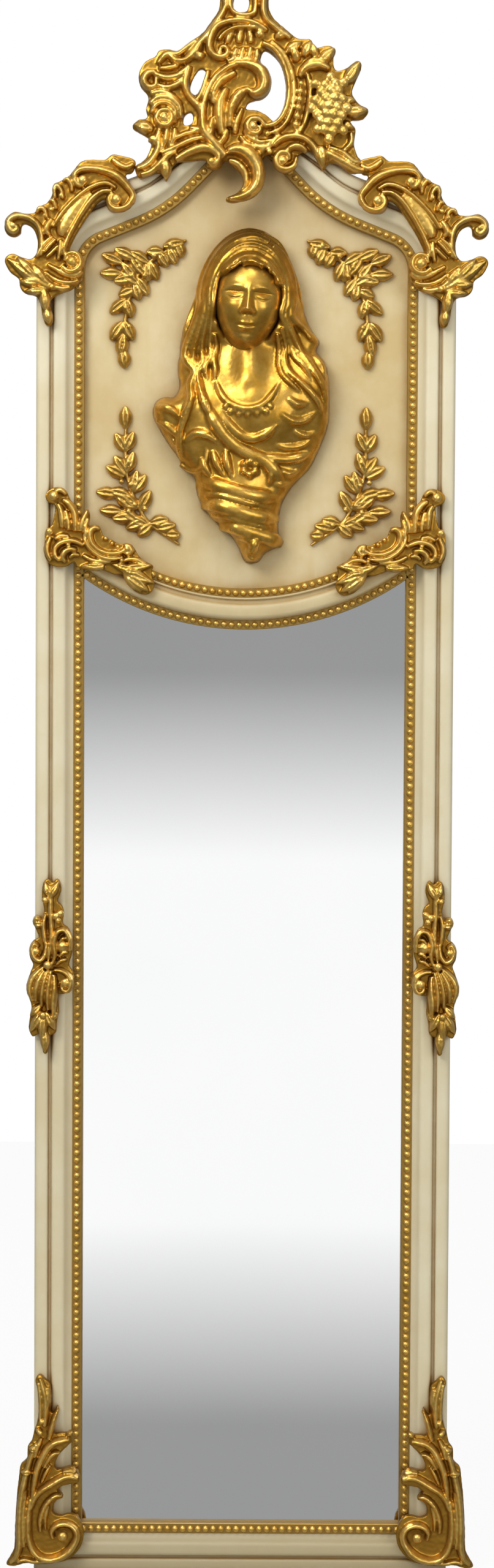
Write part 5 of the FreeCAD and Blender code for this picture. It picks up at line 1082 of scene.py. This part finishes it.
# Swellings and hollows of the face, mirrored left and right: across, up, half width, half height, height.
FACE_FLOOR = 42.0
FACE_ROUND = 38.0
FACE_STEPS = 104
EYE = (15.5, 2.0)
FACE_FORMS = [
    (0, 28, 24, 17, 1.4), (15.5, 4.0, 11, 6.2, -4.8), (15.5, 1.6, 8.0, 4.4, 4.2), (15.5, 6.8, 9, 1.3, -1.5),
    (20, -10, 11, 11, 2.2), (5.8, -14.6, 2.9, 2.8, 3.8), (3.4, -18.0, 2.0, 1.4, -1.6), (0, -27, 15, 9, 2.4),
    (3.4, -27.8, 3.8, 1.8, 1.7), (0, -33.4, 7.0, 2.2, 2.6), (0, -38.4, 8, 2.4, -1.3), (0, -46.5, 10, 7.5, 3.8),
    (0, -22.5, 1.7, 2.6, -0.5)]


def swell(away, reach):
    """The rise of a rounded edge, from nothing at the edge to the whole at its reach."""
    share = min(1.0, max(0.0, away / reach))
    return math.sqrt(1 - (1 - share) ** 2)


def head_place(x, z):
    """A place measured across and up from the middle of the tilted head."""
    turn = math.radians(HEAD_TILT)
    dx, dz = Vector((x, z)) - bust_spot(*HEAD_MIDDLE)
    return dx * math.cos(turn) - dz * math.sin(turn), dx * math.sin(turn) + dz * math.cos(turn)


def face_depth(across, up):
    """How far the face stands from the wall, at a place in millimetres from the head's middle."""
    narrow = 1.0 - 0.24 * max(0.0, -up - 8) / 50
    left_over = 1 - (across / (HEAD_HALF[0] * narrow)) ** 2 - (up / HEAD_HALF[1]) ** 2
    depth = FACE_FLOOR + FACE_ROUND * math.sqrt(max(0.0, left_over))
    for a, c, wide, high, rise in FACE_FORMS:
        for side in ((1,) if a == 0 else (-1, 1)):
            depth += rise * math.exp(-((across - side * a) / wide) ** 2 - ((up - c) / high) ** 2)
    span = abs(across) - EYE[0]
    depth += 1.7 * math.exp(-(span / 11) ** 2 - ((up - 12.8 + 0.02 * span * span) / 3.2) ** 2)
    depth -= 1.9 * math.exp(-(span / 8) ** 4 - ((up - EYE[1] + 3.0 - 0.03 * span * span) / 1.0) ** 2)
    depth -= 2.2 * math.exp(-(across / 10) ** 4 - ((up + 30.4 - 0.006 * across * across) / 1.0) ** 2)
    slope = min(1.0, max(0.0, (10 - up) / 23))
    tip = math.exp(-(max(0.0, -13.5 - up) / 2.6) ** 2) * math.exp(-(max(0.0, up - 9) / 6) ** 2)
    depth += (2.5 + 8.5 * slope) * tip * math.exp(-(across / (3.4 + 1.8 * slope)) ** 2)
    return depth


bust_rim = [bust_spot(u, v) for u, v in smooth_line(BUST_OUTLINE, 5, True)]


def body_depth(x, z):
    """How far the body and the hood stand from the wall."""
    away = min((rim - Vector((x, z))).length for rim in bust_rim)
    depth = BUST_BASE + BUST_SWELL * swell(away, BUST_EDGE)
    for u, v, wide, high, rise in BUST_FORMS:
        cx, cz = bust_spot(u, v)
        depth += rise * swell(away, BUST_EDGE) * math.exp(-((x - cx) / wide) ** 2 - ((z - cz) / high) ** 2)
    across, up = head_place(x, z)
    ring = math.hypot(across / HEAD_HALF[0], up / HEAD_HALF[1])
    hood = HOOD_FLOOR + HOOD_ROUND * math.sqrt(max(0.0, 1 - (ring / HOOD_REACH) ** 2))
    if ring < 0.93:
        hood = FACE_BED if up < HAIRLINE - 0.02 * across * across else face_depth(across, up) + HAIR_CAP
    share = min(1.0, max(0.0, (up + 70) / 40))
    return max(depth, HOOD_FLOOR + (hood - HOOD_FLOOR) * share * swell(away, BUST_EDGE))


def inside_rim(x, z):
    odd = False
    for a, b in zip(bust_rim, bust_rim[1:] + bust_rim[:1]):
        if (a.y > z) != (b.y > z) and x < a.x + (z - a.y) / (b.y - a.y) * (b.x - a.x):
            odd = not odd
    return odd


def laid(bm, half, rise, line, parted=False):
    """A tapered roll that follows the surface of the body and sinks into it at its ends, or only at the second."""
    depths = [body_depth(*bust_spot(u, v)) for u, v in line]
    depths[-1] -= END_SINK * rise
    if not parted:
        depths[0] -= END_SINK * rise
    halves = [0.75 * half] + [half] * (len(line) - 2) + [0.45 * half]
    roll(bm, bust_spot, line, halves, rise, ROLL_SECTION, depths, LAID_SINK)


def beside(line, offset):
    """A line run beside another, swinging a little from side to side."""
    spots = [bust_spot(u, v) for u, v in line]
    moved = []
    for i, spot in enumerate(spots):
        way = (spots[min(i + 1, len(spots) - 1)] - spots[max(i - 1, 0)]).normalized()
        swing = offset * (0.75 + 0.45 * math.sin(2.1 * i + offset)) * (0.4 if i in (0, len(spots) - 1) else 1)
        moved.append(bust_share(*(spot + Vector((way.y, -way.x)) * swing)))
    return moved


def bust_mesh():
    left, foot, width, height = BUST_PLACE
    columns, rows = round(width / BUST_GRID), round(height / BUST_GRID)
    body = bmesh.new()
    bmesh.ops.create_grid(body, x_segments=columns, y_segments=rows, size=0.5)
    outside = []
    for vert in body.verts:
        x, z = bust_spot(vert.co.x + 0.5, vert.co.y + 0.5)
        if inside_rim(x, z):
            vert.co = Vector((x, -body_depth(x, z), z)) * MM
        else:
            outside.append(vert)
    bmesh.ops.delete(body, geom=outside, context="VERTS")
    grown = bmesh.ops.extrude_face_region(body, geom=body.faces[:], use_keep_orig=True)["geom"]
    for vert in (g for g in grown if isinstance(g, bmesh.types.BMVert)):
        vert.co.y = -BUST_BACK * MM
    bmesh.ops.recalc_face_normals(body, faces=body.faces)
    board = carved(BUST_PLACE, BUST_OUTLINE, [], [], [], [], BUST_PLATE, BUST_BACK)
    body = cast(joined(body, board), BODY_VOXEL, BODY_EASE, 0.0)
    for half, line in LOCKS:
        laid(body, half, LOCK_RISE, line, True)
        for offset in (share * half for share in STRANDS):
            laid(body, STRAND_HALF, STRAND_RISE - abs(offset) * 0.5, beside(line, offset), True)
    for half, rise, line in FOLDS:
        laid(body, half, rise, line)
    for u, v in LACE:
        x, z = bust_spot(u, v)
        dot = Matrix.Translation(Vector((x, -body_depth(x, z) - 1, z)) * MM)
        bmesh.ops.create_icosphere(body, subdivisions=2, radius=LACE_RADIUS * MM, matrix=dot)
    return cast(body, BUST_VOXEL, 1, BUST_TOOTH)


def face_mesh():
    """The face as a closed shell that stands in the hood."""
    face = bmesh.new()
    bmesh.ops.create_grid(face, x_segments=FACE_STEPS, y_segments=FACE_STEPS, size=1.0)
    for vert in face.verts:
        u, v = vert.co.x, vert.co.y
        a = HEAD_HALF[0] * u * math.sqrt(1 - v * v / 2)
        c = HEAD_HALF[1] * v * math.sqrt(1 - u * u / 2)
        x, z = from_head(a, c)
        vert.co = Vector((x, -face_depth(a, c), z)) * MM
    grown = bmesh.ops.extrude_edge_only(face, edges=[e for e in face.edges if e.is_boundary])["geom"]
    back = {g for g in grown if isinstance(g, bmesh.types.BMVert)}
    for vert in back:
        vert.co.y = -FACE_BACK * MM
    rim = [g for g in grown if isinstance(g, bmesh.types.BMEdge) and set(g.verts) <= back]
    bmesh.ops.contextual_create(face, geom=rim)
    bmesh.ops.recalc_face_normals(face, faces=face.faces)
    return face


BUST_BRIGHT = (0.76, 0.455, 0.095, 1)
BUST_DEEP = (0.43, 0.225, 0.026, 1)
BUST_SHADE = (0.27, 0.142, 0.02, 1)
bust_gilt = gilt_finish("bust_gilt", BUST_BRIGHT, BUST_DEEP, BUST_SHADE, 0.016, 0.20, 0.76, 0.24, (-0.034, -0.022),
                        (1.475, 1.522))
bust = shown("bust_figure", joined(bust_mesh(), face_mesh()), bust_gilt, SOFT)
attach(bust, "frame")
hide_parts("bust")


# Laurel sprigs: four sprays of leaves and berries on thin stems, round the bust. Cast in composition, one mould to
# a pair of sides, pinned to the panel and gilded.
PANEL_FACE = 16.0
SPRIG_BACK = 1.0
BLADE_LENGTH = 24.0
BLADE_HALF = 7.2
BLADE_RISE = 7.5
LEAF_SPACING = 20.0
LEAF_TURNS = (0, 28, -28)
STEM_RISE = 4.5
BERRY_RADIUS = 3.4
BERRY_HEIGHT = 5.5
SPRIG_VOXEL = 0.75
SPRIG_TOOTH = 0.2
UPPER_SPRIG_PLACE = (63.0, 1377.0, 105.0, 151.0)
UPPER_STEM = [(0.05, 0.97), (0.30, 0.87), (0.50, 0.77), (0.62, 0.62), (0.69, 0.45), (0.72, 0.25), (0.72, 0.08)]
UPPER_BLADES = [
    (0.08, 0.95, 0.30, 0.92), (0.14, 0.94, 0.10, 0.84), (0.24, 0.90, 0.16, 0.79), (0.34, 0.87, 0.25, 0.77),
    (0.30, 0.88, 0.48, 0.88), (0.445, 0.80, 0.36, 0.67), (0.475, 0.785, 0.46, 0.66), (0.45, 0.795, 0.66, 0.88),
    (0.475, 0.785, 0.82, 0.90), (0.53, 0.735, 0.96, 0.86), (0.545, 0.715, 0.98, 0.72), (0.56, 0.69, 0.83, 0.66),
    (0.58, 0.68, 0.46, 0.56), (0.605, 0.64, 0.56, 0.52), (0.62, 0.60, 0.78, 0.55), (0.66, 0.54, 0.87, 0.42),
    (0.69, 0.52, 0.64, 0.39), (0.71, 0.38, 0.86, 0.22), (0.72, 0.36, 0.62, 0.22), (0.72, 0.26, 0.76, 0.10),
    (0.72, 0.14, 0.71, 0.01)]
UPPER_BERRIES = [(0.40, 0.85), (0.55, 0.77), (0.63, 0.70), (0.50, 0.70), (0.70, 0.46), (0.66, 0.32), (0.22, 0.93)]
LOWER_SPRIG_PLACE = (68.6, 1176.0, 103.0, 161.0)
LOWER_STEM = [(0.65, 0.90), (0.66, 0.70), (0.63, 0.47), (0.50, 0.27), (0.36, 0.15), (0.06, 0.02)]
LOWER_BLADES = [
    (0.66, 0.82, 0.66, 0.99), (0.66, 0.68, 0.57, 0.81), (0.66, 0.68, 0.77, 0.80), (0.65, 0.52, 0.57, 0.67),
    (0.65, 0.52, 0.78, 0.64), (0.64, 0.49, 0.87, 0.57), (0.58, 0.38, 0.43, 0.51), (0.58, 0.37, 0.53, 0.54),
    (0.54, 0.35, 0.84, 0.40), (0.555, 0.355, 0.98, 0.39), (0.50, 0.29, 0.72, 0.31), (0.50, 0.26, 0.38, 0.40),
    (0.48, 0.25, 0.94, 0.26), (0.45, 0.22, 0.80, 0.20), (0.41, 0.195, 0.65, 0.13), (0.37, 0.16, 0.52, 0.08),
    (0.38, 0.17, 0.18, 0.20), (0.30, 0.13, 0.10, 0.16), (0.20, 0.09, 0.05, 0.09)]
LOWER_BERRIES = [(0.62, 0.60), (0.70, 0.46), (0.60, 0.44), (0.55, 0.30), (0.44, 0.27), (0.30, 0.16), (0.62, 0.25)]


def sprig(place, stem, blades, berries):
    spot = within(place)
    bm = bmesh.new()
    foot = PANEL_FACE + SPRIG_BACK
    roll(bm, spot, stem, [1.6] + [2.2] * (len(stem) - 2) + [1.4], STEM_RISE, ROLL_SECTION, foot, SPRIG_BACK)
    for u0, v0, u1, v1 in blades:
        root, tip = spot(u0, v0), spot(u1, v1)
        length = (tip - root).length
        count = max(1, round(length / LEAF_SPACING))
        for i in range(count):
            way = (tip - root).normalized()
            bent = Matrix.Rotation(math.radians(LEAF_TURNS[(count - 1 - i) % 3]), 2)
            end = root.lerp(tip, (i + 1) / count)
            heel = end - bent @ way * min(length, BLADE_LENGTH)
            line = [tuple(heel.lerp(end, s)) for s in (0, 0.3, 0.65, 1)]
            roll(bm, lambda x, z: Vector((x, z)), line, [0.45 * BLADE_HALF, BLADE_HALF, BLADE_HALF, 0.3 * BLADE_HALF],
                 BLADE_RISE, LEAF_SECTION, foot, SPRIG_BACK)
    for u, v in berries:
        x, z = spot(u, v)
        ball = Matrix.Translation(Vector((x, -PANEL_FACE - BERRY_HEIGHT, z)) * MM)
        bmesh.ops.create_icosphere(bm, subdivisions=2, radius=BERRY_RADIUS * MM, matrix=ball)
    return bm


SPRIG_BRIGHT = (0.68, 0.44, 0.12, 1)
SPRIG_DEEP = (0.38, 0.215, 0.036, 1)
sprig_gilt = gilt_finish("sprig_gilt", SPRIG_BRIGHT, SPRIG_DEEP, GOLD_SHADE, 0.006, 0.25, 0.80, 0.28)
sprays = {
    "upper_sprig": (UPPER_SPRIG_PLACE, UPPER_STEM, UPPER_BLADES, UPPER_BERRIES),
    "lower_sprig": (LOWER_SPRIG_PLACE, LOWER_STEM, LOWER_BLADES, LOWER_BERRIES),
}
for name, spray in sprays.items():
    right = cast(sprig(*spray), SPRIG_VOXEL, 1, SPRIG_TOOTH)
    for node, bm in ((name + "_left", mirrored(right)), (name + "_right", right)):
        laurel = shown(node + "_laurel", bm, sprig_gilt, SOFT)
        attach(laurel, "frame")
        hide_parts(node)


# Ring hangers: a steel strap let into the back of each stile, two countersunk screws and a bent wire ring that
# swings in the strap's eye. Zinc plated, with a little dulling.
HANGER_X = 218.0
HANGER_EYE = (-4.0, 1260.0)
RING_RADIUS = 12.0
WIRE_RADIUS = 1.2
KNOB_RADIUS = 1.26
WIRE_SIDES = 12
BOW_STEPS = 24
zinc, tree, shader, place = new_finish("zinc_plate")
dull = grain(tree, place, 140.0)
plating = ramp(tree, dull, [(0.35, (0.52, 0.53, 0.55, 1)), (0.7, (0.38, 0.39, 0.41, 1))])
tree.links.new(plating, shader.inputs["Base Color"])
tree.links.new(ramp(tree, dull, [(0.35, 0.28), (0.7, 0.46)]), shader.inputs["Roughness"])
shader.inputs["Metallic"].default_value = 1.0
for node in ("hanger_strap_left", "hanger_strap_right", "hanger_screws"):
    for material_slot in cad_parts[node].material_slots:
        material_slot.material = zinc


def ring_mesh():
    """A half-round bow closed by a straight bar, with turned-over corners."""
    y, z = HANGER_EYE
    around = [2 * math.pi * n / WIRE_SIDES for n in range(WIRE_SIDES)]
    stations = []
    for turn in (math.pi * i / BOW_STEPS for i in range(BOW_STEPS + 1)):
        out = Vector((math.cos(turn), 0, -math.sin(turn)))
        stations.append([Vector((HANGER_X, y, z)) + out * RING_RADIUS + out * WIRE_RADIUS * math.cos(a)
                         + Vector((0, WIRE_RADIUS * math.sin(a), 0)) for a in around])
    bm = swept(stations)
    bar = Matrix.Translation(Vector((HANGER_X, y, z)) * MM) @ Matrix.Rotation(math.pi / 2, 4, "Y")
    bmesh.ops.create_cone(bm, cap_ends=True, segments=WIRE_SIDES, radius1=WIRE_RADIUS * MM, radius2=WIRE_RADIUS * MM,
                          depth=2 * RING_RADIUS * MM, matrix=bar)
    for end in (-RING_RADIUS, RING_RADIUS):
        knob = Matrix.Translation(Vector((HANGER_X + end, y, z)) * MM)
        bmesh.ops.create_uvsphere(bm, u_segments=WIRE_SIDES, v_segments=8, radius=KNOB_RADIUS * MM, matrix=knob)
    return bm


right_ring = ring_mesh()
for side, bm in (("left", mirrored(right_ring)), ("right", right_ring)):
    ring = shown("hanger_ring_%s_wire" % side, bm, zinc)
    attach(ring, "hanger_ring_" + side)
    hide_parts("hanger_ring_" + side)


# Studio: a plain pale floor and soft lamps, with a pale band behind the camera that the mirror shows.
# The camera stands a little above the middle of the mirror and looks slightly down, as the photograph was taken.
FLOOR_PAINT = (0.82, 0.82, 0.81, 1)
FLOOR_PALE = 0.93
FLOOR_HALF = 3.0
CAMERA_AWAY = 3.46
CAMERA_DIP = 2.58
CAMERA_ROLL = 0.3
AIM = (0.0036, -0.03, 0.9075)
VIEW_HEIGHT = 1.7844
SENSOR = 36.0
BAND = [(-0.2487, 0.33), (-0.187, 1.0), (-0.0692, 1.0), (-0.0089, 0.33), (0.14, 0.28), (0.34, 0.70)]
SIDES = [(0.0, 0.18), (0.45, 0.46), (0.7, 0.66), (1.0, 0.9)]
SIDE_DROP = 0.4
DIFFUSE_LEVEL = 0.44
LAMP_AIM = (0.0, 0.0, 0.95)
LAMPS = [((-1.5, -2.2, 2.7), 1.3, 56.0), ((1.9, -2.4, 1.7), 1.6, 22.0), ((0.0, -1.1, 3.1), 1.2, 17.0)]

ground = bmesh.new()
bmesh.ops.create_grid(ground, x_segments=1, y_segments=1, size=FLOOR_HALF)
floor_finish, tree, shader, place = new_finish("studio_floor")
shader.inputs["Base Color"].default_value = FLOOR_PAINT
shader.inputs["Roughness"].default_value = 0.8
rays = add(tree, "ShaderNodeLightPath")
clear = add(tree, "ShaderNodeBsdfTransparent")
pale = add(tree, "ShaderNodeEmission", {"Color": (1, 1, 1, 1), "Strength": 1.0})
share = add(tree, "ShaderNodeMath", {0: rays.outputs["Is Camera Ray"], 1: FLOOR_PALE}, operation="MULTIPLY")
whitened = add(tree, "ShaderNodeMixShader", {"Fac": share.outputs["Value"]})
tree.links.new(shader.outputs["BSDF"], whitened.inputs[1])
tree.links.new(pale.outputs["Emission"], whitened.inputs[2])
passes = add(tree, "ShaderNodeMixShader", {"Fac": rays.outputs["Is Glossy Ray"]})
tree.links.new(whitened.outputs["Shader"], passes.inputs[1])
tree.links.new(clear.outputs["BSDF"], passes.inputs[2])
tree.links.new(passes.outputs["Shader"], tree.nodes["Material Output"].inputs["Surface"])
floor = shown("studio_floor", ground, floor_finish)

scene = bpy.context.scene
scene.world = bpy.data.worlds.new("studio")
scene.world.use_nodes = True
tree = scene.world.node_tree
backdrop = tree.nodes["Background"]
rays = add(tree, "ShaderNodeLightPath")
aim = add(tree, "ShaderNodeTexCoord").outputs["Generated"]
rise = axis(tree, aim, "Z")
band = ramp(tree, spread(tree, rise, -0.5, 0.5), [(place + 0.5, grey) for place, grey in BAND])
height = spread(tree, rise, -1.0, 1.0)
across = add(tree, "ShaderNodeMath", {0: axis(tree, aim, "X")}, operation="ABSOLUTE").outputs["Value"]
sideways = spread(tree, across, 0.09, 0.2)
turned = ramp(tree, across, [(0.15, 1.0), (0.75, SIDE_DROP)])
band = mixed(tree, sideways, band, mixed(tree, 1.0, ramp(tree, height, SIDES), turned, "MULTIPLY"))
lit = mixed(tree, rays.outputs["Is Glossy Ray"], (DIFFUSE_LEVEL, DIFFUSE_LEVEL, DIFFUSE_LEVEL, 1), band)
seen = add(tree, "ShaderNodeMath", {0: rays.outputs["Is Camera Ray"], 1: rays.outputs["Is Transmission Ray"]},
           operation="MAXIMUM").outputs["Value"]
tree.links.new(mixed(tree, seen, lit, (1, 1, 1, 1)), backdrop.inputs["Color"])

for number, (spot, size, power) in enumerate(LAMPS):
    lamp = bpy.data.lights.new("studio_lamp_%d" % number, "AREA")
    lamp.size, lamp.energy = size, power
    holder = bpy.data.objects.new(lamp.name, lamp)
    holder.location = spot
    holder.rotation_euler = (Vector(LAMP_AIM) - Vector(spot)).to_track_quat("-Z", "Y").to_euler()
    scene.collection.objects.link(holder)

camera = bpy.data.cameras.new("photo_camera")
camera.sensor_width = SENSOR
dip = math.radians(CAMERA_DIP)
camera.lens = SENSOR * CAMERA_AWAY / math.cos(dip) / VIEW_HEIGHT
eye = bpy.data.objects.new("photo_camera", camera)
eye.location = Vector(AIM) + Vector((0, -CAMERA_AWAY, CAMERA_AWAY * math.tan(dip)))
level_view = Matrix.Rotation(math.pi / 2 - dip, 4, "X")
eye.rotation_euler = (level_view @ Matrix.Rotation(math.radians(CAMERA_ROLL), 4, "Z")).to_euler()
scene.collection.objects.link(eye)
scene.camera = eye
scene.view_settings.view_transform = "Standard"
